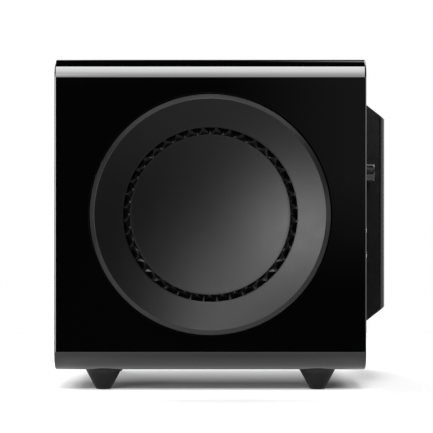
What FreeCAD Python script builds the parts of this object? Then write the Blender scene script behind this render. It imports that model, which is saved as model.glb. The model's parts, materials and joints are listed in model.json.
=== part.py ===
"""Compact cube subwoofer with two opposed side-firing drivers and a rear plate amplifier.

Millimetres.  +Z is up, the front faces -Y, the drivers face -X (left) and +X (right).
The origin is on the floor, under the middle of the overall box.
"""
import FreeCAD, Part
import math
import os

V = FreeCAD.Vector
X_AXIS = V(1, 0, 0)
Y_AXIS = V(0, 1, 0)
Z_AXIS = V(0, 0, 1)

# ---- overall sizes ---------------------------------------------------------
CABINET_WIDTH = 322.0
CABINET_DEPTH = 330.0
CABINET_HEIGHT = 330.0
FOOT_HEIGHT = 23.0
HEATSINK_REACH = 29.2
WALL = 20.0
LONG_EDGE_RADIUS = 20.0
END_EDGE_RADIUS = 1.8

HALF_WIDTH = CABINET_WIDTH / 2
HALF_DEPTH = CABINET_DEPTH / 2
HALF_HEIGHT = CABINET_HEIGHT / 2
MID_Y = -HEATSINK_REACH / 2
MID_Z = FOOT_HEIGHT + HALF_HEIGHT
FRONT_Y = MID_Y - HALF_DEPTH
REAR_Y = MID_Y + HALF_DEPTH
BOTTOM_Z = FOOT_HEIGHT
TOP_Z = FOOT_HEIGHT + CABINET_HEIGHT
INNER_X = HALF_WIDTH - WALL
INNER_FRONT_Y = FRONT_Y + WALL
INNER_BOTTOM_Z = BOTTOM_Z + WALL
INNER_TOP_Z = TOP_Z - WALL

# ---- feet ------------------------------------------------------------------
FOOT_TOP_RADIUS = 20.3
FOOT_BOTTOM_RADIUS = 8.0
FOOT_X = 115.0
FOOT_Y = 115.4
FOOT_BORE_RADIUS = 5.0
FOOT_BORE_DEPTH = 11.0
FOOT_SCREW_RADIUS = 2.5
FOOT_SCREW_HEAD_RADIUS = 4.5
FOOT_SCREW_HEAD_HEIGHT = 3.6
FOOT_SCREW_REACH = 14.0

# ---- driver: radii from its axis, depths measured outward from the side face ----
DISH_SPHERE_RADIUS = 398.0
LIP_RADIUS = 122.4
LIP_PROUD = 4.0
RING_OUTER_RADIUS = 127.2
RING_BEVEL_FOOT = 0.8
RING_INNER_RADIUS = 92.2
RING_THICKNESS = 2.4
RING_SKIRT_DEPTH = -3.0
RING_RIB = (101.0, 105.0)
COUNTERBORE_RADIUS = 128.0
COUNTERBORE_DEPTH = 12.0
COUNTERBORE_CHAMFER = 1.0
DRIVER_HOLE_RADIUS = 110.5

DISC_RADIUS = 85.0
DISC_THICKNESS = 1.0
DISC_RIM_DEPTH = 5.0
SURROUND_OUTER_RADIUS = 92.5
SURROUND_TOP = -7.4
SURROUND_DEPTH = 4.4

FLANGE_TOP = -6.0
FLANGE_THICKNESS = 4.5
FLANGE_RADIUS = 124.5
GASKET_THICKNESS = 1.5
SHELF_TOP = -14.0
SHELF_THICKNESS = 3.0
SHELF_INNER_RADIUS = 93.4
SHELF_OUTER_RADIUS = 99.8
BELL_TOP_RADIUS = 109.5
BELL_LOW_RADIUS = 78.0
BELL_WALL = 5.0
BASKET_FOOT = -54.0
BASKET_WINDOWS = 6
WINDOW_ANGLE = 42.0
SPIDER_LEDGE = -42.0
SPIDER_OUTER_RADIUS = 73.5
SPIDER_WAVES = 6
SPIDER_WAVE_HEIGHT = 1.5
SPIDER_THICKNESS = 0.8

FORMER_RADIUS = 31.6
FORMER_WALL = 0.4
FORMER_END = -70.0
COIL_WALL = 1.2
COIL_TOP = -47.0
COIL_LENGTH = 22.0
CONE_TOP_RADIUS = 79.0
CONE_NECK_DEPTH = -34.0
CONE_WALL = 1.2
MAGNETIC_GAP = 0.8
TOP_PLATE_THICKNESS = 8.0
TOP_PLATE_RADIUS = 62.0
MAGNET_THICKNESS = 20.0
MAGNET_RADIUS = 68.0
MAGNET_BORE = 40.0
BACK_PLATE_THICKNESS = 8.0
BACK_PLATE_RADIUS = 64.0
POLE_VENT_RADIUS = 9.0

DRIVER_SCREWS = 8
DRIVER_SCREW_CIRCLE = 117.5
DRIVER_SCREW_RADIUS = 2.5
DRIVER_SCREW_HOLE_RADIUS = 2.8
DRIVER_SCREW_HEAD_RADIUS = 4.5
DRIVER_SCREW_HEAD_HEIGHT = 2.4
DRIVER_SCREW_END = -18.5
TERMINAL_HALF_WIDTH = 12.0
TERMINAL_TOP = -47.0
TERMINAL_REACH = 10.0

# ---- amplifier panel: offsets from the panel's or the cabinet's middle ------
PANEL_WIDTH = 240.0
PANEL_HEIGHT = 253.6
PANEL_RAISE = 2.0
PANEL_THICKNESS = 3.0
PANEL_PROUD = 0.6
PANEL_CORNER = 3.0
PANEL_GASKET = 1.0
PANEL_GAP = 0.5
PANEL_Z = MID_Z + PANEL_RAISE
PANEL_FACE_Y = REAR_Y + PANEL_PROUD
PANEL_BACK_Y = PANEL_FACE_Y - PANEL_THICKNESS
REBATE_Y = PANEL_BACK_Y - PANEL_GASKET
CUTOUT_HALF_X = 106.0
CUTOUT_HALF_Z = 108.0
PANEL_SCREW_X = 113.0
PANEL_SCREW_Z = 118.0
PANEL_SCREW_RADIUS = 2.0
PANEL_SCREW_HEAD_RADIUS = 3.8
PANEL_SCREW_HEAD_HEIGHT = 2.0
PANEL_SCREW_LENGTH = 15.0
SCREW_CROSS_ARM = 2.1
SCREW_CROSS_WIDTH = 0.9
SCREW_CROSS_DEPTH = 1.1

HEATSINK_WIDTH = 100.0
HEATSINK_SLOPE_DROP = 22.3
HEATSINK_BASE = 4.5
HEATSINK_EDGE_RADIUS = 6.5
HEATSINK_SIDE_FIN = 6.0
HEATSINK_GROOVES = 12
HEATSINK_FIN = 2.5
HEATSINK_Y = REAR_Y + HEATSINK_REACH

RCA_COLUMNS = (72.0, 92.0)
RCA_ROWS = (-16.4, -44.0)
RCA_RADIUS = 4.15
RCA_BORE_RADIUS = 3.3
RCA_PIN_HOLE_RADIUS = 1.6
RCA_REACH = 5.4
RCA_NUT_RADIUS = 6.0
RCA_NUT_HEIGHT = 1.6
RCA_TAIL_RADIUS = 3.5
RCA_TAIL_LENGTH = 8.0
RCA_INSULATOR_RECESS = 1.2

KNOB_RADIUS = 10.0
KNOB_DRAFT = 0.5
KNOB_GAP = 0.6
KNOB_REACH = 13.8
KNOB_ROW = 45.6
VOLUME_X = 92.0
CROSSOVER_X = 65.0
KNOB_EDGE_RADIUS = 0.8
KNOB_POINTER = (0.9, 5.5, 0.5)
SHAFT_RADIUS = 3.0
SHAFT_FIT = 0.05
BUSH_RADIUS = 3.5
BUSH_HOLE_RADIUS = 3.7
POT_RADIUS = 8.0
POT_DEPTH = 8.5

SWITCH_X = -86.0
PHASE_Z = 56.0
POWER_MODE_Z = 30.0
SLIDER_SIZE = (3.6, 4.0, 2.2)
SLIDER_FOOT = (3.6, 6.0, 2.0)
SLIDER_CLEARANCE = 0.35
SLIDER_RIB_PITCH = 1.1
SLIDER_RIB_WIDTH = 0.7
SLIDER_RIB_DEPTH = 0.5
PHASE_TRAVEL = 4.0
POWER_MODE_TRAVEL = 6.0
SWITCH_BODY = (8.0, 22.0, 7.0)

BUTTON_Z = 82.0
BUTTON_X = -76.0
BUTTON_RADIUS = 4.0
BUTTON_HOLE_RADIUS = 4.35
BUTTON_FLANGE_RADIUS = 5.2
BUTTON_PROUD = 1.8
LENS_X = -96.0
LENS_RADIUS = 2.0
LENS_PROUD = 0.6

TERMINAL_BLOCK = (24.0, 12.0, 12.0)
TERMINAL_BLOCK_Z = -2.0
TERMINAL_POLES = 4
TERMINAL_PITCH = 5.08
TERMINAL_HOLE_RADIUS = 1.5
TERMINAL_SCREW_RADIUS = 1.3

ROCKER_Z = -42.0
ROCKER_FRAME = (21.0, 30.0, 2.0)
ROCKER_BODY = (18.6, 27.0, 15.0)
ROCKER_WINDOW = (14.6, 23.0)
ROCKER_SIZE = (14.0, 20.8)
ROCKER_PIVOT_DEPTH = 4.5
ROCKER_PIN_RADIUS = 1.5
ROCKER_PIN_FIT = 0.06
ROCKER_TILT = 8.0

INLET_Z = -86.0
INLET_FLANGE = (32.0, 27.0, 2.0)
INLET_BODY = (27.6, 20.6)
INLET_CAVITY = (24.0, 16.6)
INLET_CAVITY_DEPTH = 16.0
INLET_BODY_DEPTH = 21.0
INLET_CORNER = 4.5
PIN_SIZE = (2.0, 4.0, 12.0)
PIN_SPACING = 7.0
EARTH_PIN_RAISE = 4.0

ENCLOSURE_HALF_X = 104.0
ENCLOSURE_HALF_Z = 106.0
ENCLOSURE_DEPTH = 68.7
ENCLOSURE_WALL = 2.0
BOARD_HALF_X = 92.0
BOARD_HALF_Z = 96.0
BOARD_SETBACK = 30.0
BOARD_THICKNESS = 1.6
CAPACITOR_RADIUS = 12.5
CAPACITOR_LENGTH = 30.0
TRANSFORMER_RADIUS = 32.0
TRANSFORMER_BORE = 11.0
TRANSFORMER_HEIGHT = 30.0

BRACE_HALF_THICKNESS = 7.5
BRACE_REAR = 90.0
BRACE_FRAME = 34.0
BRACE_WINDOW_RADIUS = 30.0
PAD_THICKNESS = 22.0
PAD_GAP = 3.0
LEAD_RADIUS = 2.0
LEAD_BEND = 9.0
LEAD_SPREAD = 5.0


# ---- helpers ---------------------------------------------------------------
def save(name, *solids):
    """Write one node, as one solid or as a group of separate solids."""
    shape = solids[0] if len(solids) == 1 else Part.makeCompound(list(solids))
    bad = [s for s in shape.Solids if not s.isValid() or s.Volume <= 0]
    verdict = "BAD" if bad else "ok"
    print("%-26s %2d solids %10.0f mm3 %s" % (name, len(shape.Solids), shape.Volume, verdict))
    shape.exportStep("parts/" + name + ".step")


def block(x0, x1, y0, y1, z0, z1):
    """A box between two corners."""
    return Part.makeBox(x1 - x0, y1 - y0, z1 - z0, V(x0, y0, z0))


def rod(radius, start, direction, length):
    """A cylinder from a point along a direction."""
    return Part.makeCylinder(radius, length, start, direction)


def polygon(points):
    """A closed flat face through the points."""
    return Part.Face(Part.makePolygon(points + [points[0]]))


def turned_rear(profile, x, z):
    """Turn a (radius, y) profile about the line through (x, z) along Y."""
    face = polygon([V(x + radius, y, z) for radius, y in profile])
    return face.revolve(V(x, 0, z), Y_AXIS, 360)


def turned_driver(profile, angle=360.0):
    """Turn a (radius, depth) profile about the driver's axis, which is local X."""
    face = polygon([V(depth, 0, radius) for radius, depth in profile])
    return face.revolve(V(0, 0, 0), X_AXIS, angle)


def on_side(shape, side):
    """Carry a driver piece from its local frame to the right (+1) or left (-1) side."""
    placed = shape.copy()
    placed.translate(V(HALF_WIDTH, MID_Y, MID_Z))
    if side > 0:
        return placed
    return placed.mirror(V(0, 0, 0), X_AXIS)


def around(count, radius):
    """Points (y, z) evenly spaced on a circle about the driver's axis."""
    step = 2 * math.pi / count
    angles = [step * (i + 0.5) for i in range(count)]
    return [(radius * math.cos(a), radius * math.sin(a)) for a in angles]


def dish_depth(radius):
    """Depth of the shallow spherical dish that the ring and the disc share."""
    floor = LIP_PROUD - (DISH_SPHERE_RADIUS - math.sqrt(DISH_SPHERE_RADIUS ** 2 - LIP_RADIUS ** 2))
    return floor + DISH_SPHERE_RADIUS - math.sqrt(DISH_SPHERE_RADIUS ** 2 - radius ** 2)


def dish_arc(r_start, r_end, drop=0.0):
    """Arc edge of the dish between two radii, lowered by drop."""
    points = []
    for radius in (r_start, (r_start + r_end) / 2, r_end):
        points.append(V(dish_depth(radius) - drop, 0, radius))
    return Part.Arc(*points).toShape()


def line(r0, w0, r1, w1):
    """Straight edge of a driver profile."""
    return Part.makeLine(V(w0, 0, r0), V(w1, 0, r1))


def turned_edges(edges):
    """Turn a closed set of profile edges about the driver's axis."""
    wire = Part.Wire(Part.__sortEdges__(edges))
    return Part.Face(wire).revolve(V(0, 0, 0), X_AXIS, 360)


# ---- cabinet ---------------------------------------------------------------
def driver_recess():
    """Hole, counterbore and chamfer that take one driver, in the driver's frame."""
    chamfer_radius = COUNTERBORE_RADIUS + COUNTERBORE_CHAMFER
    return turned_driver([
        (0, 1), (chamfer_radius, 1), (chamfer_radius, 0),
        (COUNTERBORE_RADIUS, -COUNTERBORE_CHAMFER), (COUNTERBORE_RADIUS, -COUNTERBORE_DEPTH),
        (DRIVER_HOLE_RADIUS, -COUNTERBORE_DEPTH), (DRIVER_HOLE_RADIUS, -WALL - 1), (0, -WALL - 1)])


def driver_screw_rods(radius, w_start, w_end):
    """Rods on the driver's screw circle between two depths, in the driver's frame."""
    return [rod(radius, V(w_end, y, z), X_AXIS, w_start - w_end)
            for y, z in around(DRIVER_SCREWS, DRIVER_SCREW_CIRCLE)]


def foot_places():
    """Name and (x, y) of each foot."""
    places = []
    for row, y in (("front", MID_Y - FOOT_Y), ("rear", MID_Y + FOOT_Y)):
        for hand, x in (("left", -FOOT_X), ("right", FOOT_X)):
            places.append(("foot_%s_%s" % (row, hand), x, y))
    return places


def cabinet_shell():
    """Carcass: big radii along the four front-to-back edges, small ones round both ends."""
    body = block(-HALF_WIDTH, HALF_WIDTH, FRONT_Y, REAR_Y, BOTTOM_Z, TOP_Z)
    long_edges = [e for e in body.Edges if abs(e.BoundBox.YLength - CABINET_DEPTH) < 0.1]
    body = body.makeFillet(LONG_EDGE_RADIUS, long_edges)
    end_edges = [e for e in body.Edges if e.BoundBox.YLength < 0.1]
    body = body.makeFillet(END_EDGE_RADIUS, end_edges)
    cavity = block(-INNER_X, INNER_X, INNER_FRONT_Y, REAR_Y + 1, INNER_BOTTOM_Z, INNER_TOP_Z)
    cutters = [cavity]
    for side in (-1, 1):
        cutters.append(on_side(driver_recess(), side))
        for pilot in driver_screw_rods(DRIVER_SCREW_RADIUS, -COUNTERBORE_DEPTH + 1, DRIVER_SCREW_END):
            cutters.append(on_side(pilot, side))
    for _name, x, y in foot_places():
        cutters.append(rod(FOOT_SCREW_RADIUS, V(x, y, BOTTOM_Z - 1), Z_AXIS, FOOT_SCREW_REACH + 1))
    return body.cut(cutters)


def panel_plate(half_x, half_z, y0, y1, corner):
    """Rectangular plate with rounded corners, centred on the amplifier panel."""
    plate = block(-half_x, half_x, y0, y1, PANEL_Z - half_z, PANEL_Z + half_z)
    corners = [e for e in plate.Edges if e.BoundBox.YLength > (y1 - y0) - 0.01]
    return plate.makeFillet(corner, corners)


def panel_screw_places():
    """(x, z) of the screws round the edge of the amplifier panel."""
    places = []
    for x in (-PANEL_SCREW_X, PANEL_SCREW_X):
        for z in (-PANEL_SCREW_Z, -PANEL_SCREW_Z / 3, PANEL_SCREW_Z / 3, PANEL_SCREW_Z):
            places.append((x, PANEL_Z + z))
    return places


def rear_baffle():
    """Board inside the back of the carcass, rebated for the amplifier panel."""
    board = block(-INNER_X, INNER_X, REAR_Y - WALL, REAR_Y, INNER_BOTTOM_Z, INNER_TOP_Z)
    half_x = PANEL_WIDTH / 2 + PANEL_GAP
    half_z = PANEL_HEIGHT / 2 + PANEL_GAP
    rebate = panel_plate(half_x, half_z, REBATE_Y, REAR_Y + 1, PANEL_CORNER + PANEL_GAP)
    hole = block(-CUTOUT_HALF_X, CUTOUT_HALF_X, REAR_Y - WALL - 1, REAR_Y,
                 PANEL_Z - CUTOUT_HALF_Z, PANEL_Z + CUTOUT_HALF_Z)
    pilots = []
    pilot_y = PANEL_FACE_Y - PANEL_SCREW_LENGTH
    for x, z in panel_screw_places():
        pilots.append(rod(PANEL_SCREW_RADIUS, V(x, pilot_y, z), Y_AXIS, PANEL_SCREW_LENGTH))
    return board.cut([rebate, hole] + pilots)


def cabinet_brace():
    """Window brace standing between the two drivers."""
    rear = MID_Y + BRACE_REAR
    plate = block(-BRACE_HALF_THICKNESS, BRACE_HALF_THICKNESS, INNER_FRONT_Y, rear,
                  INNER_BOTTOM_Z, INNER_TOP_Z)
    window = block(-BRACE_HALF_THICKNESS - 1, BRACE_HALF_THICKNESS + 1,
                   INNER_FRONT_Y + BRACE_FRAME, rear - BRACE_FRAME,
                   INNER_BOTTOM_Z + BRACE_FRAME, INNER_TOP_Z - BRACE_FRAME)
    corners = [e for e in window.Edges if e.BoundBox.XLength > 2 * BRACE_HALF_THICKNESS]
    return plate.cut(window.makeFillet(BRACE_WINDOW_RADIUS, corners))


def wadding_pads():
    """Fibre pads against the top and the bottom, on each side of the brace."""
    front = INNER_FRONT_Y + PAD_GAP
    rear = MID_Y + BRACE_REAR
    levels = ((INNER_BOTTOM_Z, INNER_BOTTOM_Z + PAD_THICKNESS), (INNER_TOP_Z - PAD_THICKNESS, INNER_TOP_Z))
    x_near = BRACE_HALF_THICKNESS + PAD_GAP
    x_far = INNER_X - PAD_GAP
    pads = []
    for z0, z1 in levels:
        for x0, x1 in ((-x_far, -x_near), (x_near, x_far)):
            pad = block(x0, x1, front, rear, z0, z1)
            upright = [e for e in pad.Edges if e.BoundBox.ZLength > PAD_THICKNESS - 0.1]
            pads.append(pad.makeFillet(PAD_THICKNESS / 2, upright))
    return pads


# ---- feet ------------------------------------------------------------------
def foot(x, y):
    """Tapered rubber foot with a counterbore for its screw."""
    cone = Part.makeCone(FOOT_BOTTOM_RADIUS, FOOT_TOP_RADIUS, FOOT_HEIGHT, V(x, y, 0), Z_AXIS)
    rim = [e for e in cone.Edges if e.BoundBox.ZLength < 0.01 and e.BoundBox.ZMin < 0.01]
    cone = cone.makeFillet(0.8, rim)
    bore = rod(FOOT_BORE_RADIUS, V(x, y, -1), Z_AXIS, FOOT_BORE_DEPTH + 1)
    hole = rod(FOOT_SCREW_RADIUS, V(x, y, 0), Z_AXIS, FOOT_HEIGHT + 1)
    return cone.cut([bore, hole])


def foot_screw(x, y):
    """Pan-head screw that holds one foot."""
    head = rod(FOOT_SCREW_HEAD_RADIUS, V(x, y, FOOT_BORE_DEPTH - FOOT_SCREW_HEAD_HEIGHT), Z_AXIS,
               FOOT_SCREW_HEAD_HEIGHT)
    shank = rod(FOOT_SCREW_RADIUS, V(x, y, FOOT_BORE_DEPTH), Z_AXIS,
                FOOT_HEIGHT + FOOT_SCREW_REACH - FOOT_BORE_DEPTH)
    return head.fuse(shank)


# ---- driver pieces, each in the driver's own frame --------------------------
def trim_ring():
    """Dished ring with a bevelled lip, resting on a rib."""
    rib_in, rib_out = RING_RIB
    inner_low = dish_depth(RING_INNER_RADIUS) - RING_THICKNESS
    rib_in_top = dish_depth(rib_in) - RING_THICKNESS
    rib_out_top = dish_depth(rib_out) - RING_THICKNESS
    skirt_in = RING_OUTER_RADIUS - RING_THICKNESS
    under_end = skirt_in - 1.0
    edges = [
        dish_arc(RING_INNER_RADIUS, LIP_RADIUS),
        line(LIP_RADIUS, LIP_PROUD, RING_OUTER_RADIUS, RING_BEVEL_FOOT),
        line(RING_OUTER_RADIUS, RING_BEVEL_FOOT, RING_OUTER_RADIUS, RING_SKIRT_DEPTH),
        line(RING_OUTER_RADIUS, RING_SKIRT_DEPTH, skirt_in, RING_SKIRT_DEPTH),
        line(skirt_in, RING_SKIRT_DEPTH, under_end, dish_depth(under_end) - 2 * RING_THICKNESS),
        line(under_end, dish_depth(under_end) - 2 * RING_THICKNESS, rib_out, rib_out_top),
        line(rib_out, rib_out_top, rib_out, FLANGE_TOP),
        line(rib_out, FLANGE_TOP, rib_in, FLANGE_TOP),
        line(rib_in, FLANGE_TOP, rib_in, rib_in_top),
        line(rib_in, rib_in_top, RING_INNER_RADIUS, inner_low),
        line(RING_INNER_RADIUS, inner_low, RING_INNER_RADIUS, dish_depth(RING_INNER_RADIUS))]
    return turned_edges(edges)


def basket():
    """Die-cast frame: flange, surround shelf, windowed bell and spider ledge."""
    flange_low = FLANGE_TOP - FLANGE_THICKNESS
    bell_low = SPIDER_LEDGE - 4.0
    bell = turned_driver([
        (FLANGE_RADIUS, FLANGE_TOP), (FLANGE_RADIUS, flange_low), (BELL_TOP_RADIUS, flange_low),
        (BELL_TOP_RADIUS, -WALL), (BELL_LOW_RADIUS, bell_low), (BELL_LOW_RADIUS, BASKET_FOOT),
        (BELL_LOW_RADIUS - 20, BASKET_FOOT), (BELL_LOW_RADIUS - 20, BASKET_FOOT + 4),
        (BELL_LOW_RADIUS - 10, BASKET_FOOT + 4), (BELL_LOW_RADIUS - 10, SPIDER_LEDGE),
        (BELL_LOW_RADIUS - 4, SPIDER_LEDGE), (BELL_TOP_RADIUS - BELL_WALL, -WALL + 2),
        (BELL_TOP_RADIUS - BELL_WALL, SHELF_TOP - SHELF_THICKNESS),
        (SHELF_INNER_RADIUS, SHELF_TOP - SHELF_THICKNESS), (SHELF_INNER_RADIUS, SHELF_TOP),
        (SHELF_OUTER_RADIUS, SHELF_TOP), (SHELF_OUTER_RADIUS, FLANGE_TOP)])
    window_low = SPIDER_LEDGE - 1.0
    window_high = -WALL - 2.0
    cutters = []
    for i in range(BASKET_WINDOWS):
        wedge = turned_driver([(BELL_LOW_RADIUS - 5, window_low), (BELL_TOP_RADIUS + 5, window_low),
                               (BELL_TOP_RADIUS + 5, window_high), (BELL_LOW_RADIUS - 5, window_high)],
                              WINDOW_ANGLE)
        wedge.rotate(V(0, 0, 0), X_AXIS, i * 360.0 / BASKET_WINDOWS + 9.0)
        cutters.append(wedge)
    holes = driver_screw_rods(DRIVER_SCREW_HOLE_RADIUS, 0, -WALL)
    return bell.cut(cutters + holes)


def driver_gasket():
    """Sealing ring between the basket's flange and the cabinet."""
    low = -COUNTERBORE_DEPTH
    high = low + GASKET_THICKNESS
    inner = DRIVER_HOLE_RADIUS + 0.5
    ring = turned_driver([(inner, low), (FLANGE_RADIUS, low), (FLANGE_RADIUS, high), (inner, high)])
    return ring.cut(driver_screw_rods(DRIVER_SCREW_HOLE_RADIUS, 0, -WALL))


def driver_screws():
    """Screws through the basket's flange into the cabinet."""
    shanks = driver_screw_rods(DRIVER_SCREW_RADIUS, FLANGE_TOP, DRIVER_SCREW_END)
    heads = driver_screw_rods(DRIVER_SCREW_HEAD_RADIUS, FLANGE_TOP + DRIVER_SCREW_HEAD_HEIGHT, FLANGE_TOP)
    return [head.fuse(shank) for head, shank in zip(heads, shanks)]


def surround():
    """Rubber ring glued to the disc's rim and to the basket's shelf."""
    low = SURROUND_TOP - SURROUND_DEPTH
    flange_top = SHELF_TOP + 1.4
    return turned_driver([
        (DISC_RADIUS, SURROUND_TOP), (SURROUND_OUTER_RADIUS, SURROUND_TOP),
        (SURROUND_OUTER_RADIUS, flange_top), (SHELF_OUTER_RADIUS - 0.5, flange_top),
        (SHELF_OUTER_RADIUS - 0.5, SHELF_TOP), (SURROUND_OUTER_RADIUS - 1.5, SHELF_TOP),
        (SURROUND_OUTER_RADIUS - 1.5, low), (DISC_RADIUS, low)])


def diaphragm():
    """Thin dished disc with a turned-down rim."""
    edge_low = dish_depth(DISC_RADIUS) - DISC_RIM_DEPTH
    inside = DISC_RADIUS - DISC_THICKNESS
    edges = [
        dish_arc(0, DISC_RADIUS),
        line(DISC_RADIUS, dish_depth(DISC_RADIUS), DISC_RADIUS, edge_low),
        line(DISC_RADIUS, edge_low, inside, edge_low),
        line(inside, edge_low, inside, dish_depth(inside) - DISC_THICKNESS),
        dish_arc(0, inside, DISC_THICKNESS),
        line(0, dish_depth(0), 0, dish_depth(0) - DISC_THICKNESS)]
    return turned_edges(edges)


def former_outer_radius():
    """Outer radius of the bare voice coil former."""
    return FORMER_RADIUS + FORMER_WALL


def cone():
    """Stiffening cone from the disc's edge down to the former."""
    neck = former_outer_radius()
    top = dish_depth(CONE_TOP_RADIUS) - DISC_THICKNESS - 0.1
    run = CONE_TOP_RADIUS - neck
    wall = CONE_WALL * math.hypot(run, top - CONE_NECK_DEPTH) / run
    return turned_driver([(CONE_TOP_RADIUS, top), (CONE_TOP_RADIUS, top - wall),
                          (neck, CONE_NECK_DEPTH - wall), (neck, CONE_NECK_DEPTH)])


def voice_coil_former():
    """Thin tube glued to the underside of the disc."""
    outer = former_outer_radius()
    top = dish_depth(FORMER_RADIUS) - DISC_THICKNESS - 0.1
    return turned_driver([(FORMER_RADIUS, top), (outer, top),
                          (outer, FORMER_END), (FORMER_RADIUS, FORMER_END)])


def voice_coil():
    """Copper winding on the former, longer than the magnetic gap."""
    inner = former_outer_radius()
    outer = inner + COIL_WALL
    end = COIL_TOP - COIL_LENGTH
    return turned_driver([(inner, COIL_TOP), (outer, COIL_TOP), (outer, end), (inner, end)])


def spider():
    """Corrugated centring ring between the former and the basket's ledge."""
    start = former_outer_radius()
    collar = BELL_LOW_RADIUS - 9.5
    step = (collar - start) / (2 * SPIDER_WAVES)
    base = SPIDER_LEDGE
    upper = [(start + i * step, base + SPIDER_THICKNESS + (SPIDER_WAVE_HEIGHT if i % 2 else 0))
             for i in range(2 * SPIDER_WAVES + 1)]
    upper.append((SPIDER_OUTER_RADIUS, base + SPIDER_THICKNESS))
    lower = [(radius, depth - SPIDER_THICKNESS) for radius, depth in reversed(upper)]
    return turned_driver(upper + lower)


def gap_outer_radius():
    """Inner radius of the top plate, a running gap outside the coil."""
    return former_outer_radius() + COIL_WALL + MAGNETIC_GAP


def top_plate():
    """Steel ring that forms the outside of the magnetic gap."""
    low = BASKET_FOOT - TOP_PLATE_THICKNESS
    return turned_driver([(gap_outer_radius(), BASKET_FOOT), (TOP_PLATE_RADIUS, BASKET_FOOT),
                          (TOP_PLATE_RADIUS, low), (gap_outer_radius(), low)])


def magnet():
    """Ferrite ring under the top plate."""
    high = BASKET_FOOT - TOP_PLATE_THICKNESS
    low = high - MAGNET_THICKNESS
    return turned_driver([(MAGNET_BORE, high), (MAGNET_RADIUS - 1, high), (MAGNET_RADIUS, high - 1),
                          (MAGNET_RADIUS, low + 1), (MAGNET_RADIUS - 1, low), (MAGNET_BORE, low)])


def yoke():
    """Back plate and vented pole in one steel piece."""
    high = BASKET_FOOT - TOP_PLATE_THICKNESS - MAGNET_THICKNESS
    low = high - BACK_PLATE_THICKNESS
    pole = FORMER_RADIUS - MAGNETIC_GAP
    return turned_driver([(POLE_VENT_RADIUS, BASKET_FOOT), (pole, BASKET_FOOT), (pole, high),
                          (BACK_PLATE_RADIUS, high), (BACK_PLATE_RADIUS, low + 2),
                          (BACK_PLATE_RADIUS - 2, low), (POLE_VENT_RADIUS, low)])


def driver_terminal():
    """Connection block on the rear side of the basket's lower ring."""
    half = TERMINAL_HALF_WIDTH
    body = block(BASKET_FOOT, TERMINAL_TOP, BELL_LOW_RADIUS - 3, BELL_LOW_RADIUS + TERMINAL_REACH,
                 -half, half)
    return body.cut(rod(BELL_LOW_RADIUS, V(BASKET_FOOT - 1, 0, 0), X_AXIS, WALL))


def driver_lead(offset):
    """Internal lead from the connection block round one bend to the amplifier's cover."""
    run_y = BELL_LOW_RADIUS + TERMINAL_REACH / 2
    start = V(BASKET_FOOT, run_y, offset)
    bend_x = BASKET_FOOT - 13.0
    wall_y = HALF_DEPTH + PANEL_PROUD - PANEL_THICKNESS - ENCLOSURE_DEPTH
    corner_in = V(bend_x, run_y, offset)
    corner_out = V(bend_x - LEAD_BEND, run_y + LEAD_BEND, offset)
    swing = LEAD_BEND * math.sin(math.radians(45))
    middle = V(bend_x - swing, run_y + LEAD_BEND - swing, offset)
    path = Part.Wire([Part.makeLine(start, corner_in), Part.Arc(corner_in, middle, corner_out).toShape(),
                      Part.makeLine(corner_out, V(corner_out.x, wall_y, offset))])
    section = Part.Wire(Part.makeCircle(LEAD_RADIUS, start, X_AXIS))
    return path.makePipeShell([section], True, False)


# ---- amplifier ---------------------------------------------------------------
def rca_places():
    """(x, z) of the four phono sockets."""
    return [(x, MID_Z + z) for x in RCA_COLUMNS for z in RCA_ROWS]


def slot_cutter(x, z, travel, y0, y1):
    """Slot in which a slide switch's button travels upward from (x, z)."""
    half_x = SLIDER_SIZE[0] / 2 + SLIDER_CLEARANCE
    half_z = SLIDER_SIZE[1] / 2 + SLIDER_CLEARANCE
    return block(x - half_x, x + half_x, y0, y1, z - half_z, z + half_z + travel)


def switch_places():
    """(lowest button height, travel) of the two slide switches."""
    return ((MID_Z + PHASE_Z, PHASE_TRAVEL), (MID_Z + POWER_MODE_Z, POWER_MODE_TRAVEL))


def screw_head_cone(x, z):
    """Countersunk head, or the countersink that takes it."""
    start = V(x, PANEL_FACE_Y - PANEL_SCREW_HEAD_HEIGHT, z)
    return Part.makeCone(PANEL_SCREW_RADIUS, PANEL_SCREW_HEAD_RADIUS, PANEL_SCREW_HEAD_HEIGHT, start, Y_AXIS)


def amp_panel():
    """Plate with the holes of every control and connector."""
    plate = panel_plate(PANEL_WIDTH / 2, PANEL_HEIGHT / 2, PANEL_BACK_Y, PANEL_FACE_Y, PANEL_CORNER)
    cutters = []
    through_y = PANEL_BACK_Y - 1
    through = PANEL_THICKNESS + 2
    for x, z in rca_places():
        cutters.append(rod(RCA_TAIL_RADIUS, V(x, through_y, z), Y_AXIS, through))
    for x in (VOLUME_X, CROSSOVER_X):
        cutters.append(rod(BUSH_HOLE_RADIUS, V(x, through_y, MID_Z + KNOB_ROW), Y_AXIS, through))
    for z, travel in switch_places():
        cutters.append(slot_cutter(SWITCH_X, z, travel, through_y, PANEL_FACE_Y + 1))
    cutters.append(rod(BUTTON_HOLE_RADIUS, V(BUTTON_X, through_y, MID_Z + BUTTON_Z), Y_AXIS, through))
    cutters.append(rod(LENS_RADIUS, V(LENS_X, through_y, MID_Z + BUTTON_Z), Y_AXIS, through))
    for z, size in ((TERMINAL_BLOCK_Z, TERMINAL_BLOCK), (ROCKER_Z, ROCKER_BODY), (INLET_Z, INLET_BODY)):
        cutters.append(block(SWITCH_X - size[0] / 2, SWITCH_X + size[0] / 2, through_y, PANEL_FACE_Y + 1,
                             MID_Z + z - size[1] / 2, MID_Z + z + size[1] / 2))
    for x, z in panel_screw_places():
        cutters.append(rod(PANEL_SCREW_RADIUS, V(x, through_y, z), Y_AXIS, through))
        cutters.append(screw_head_cone(x, z))
    return plate.cut(cutters)


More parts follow.
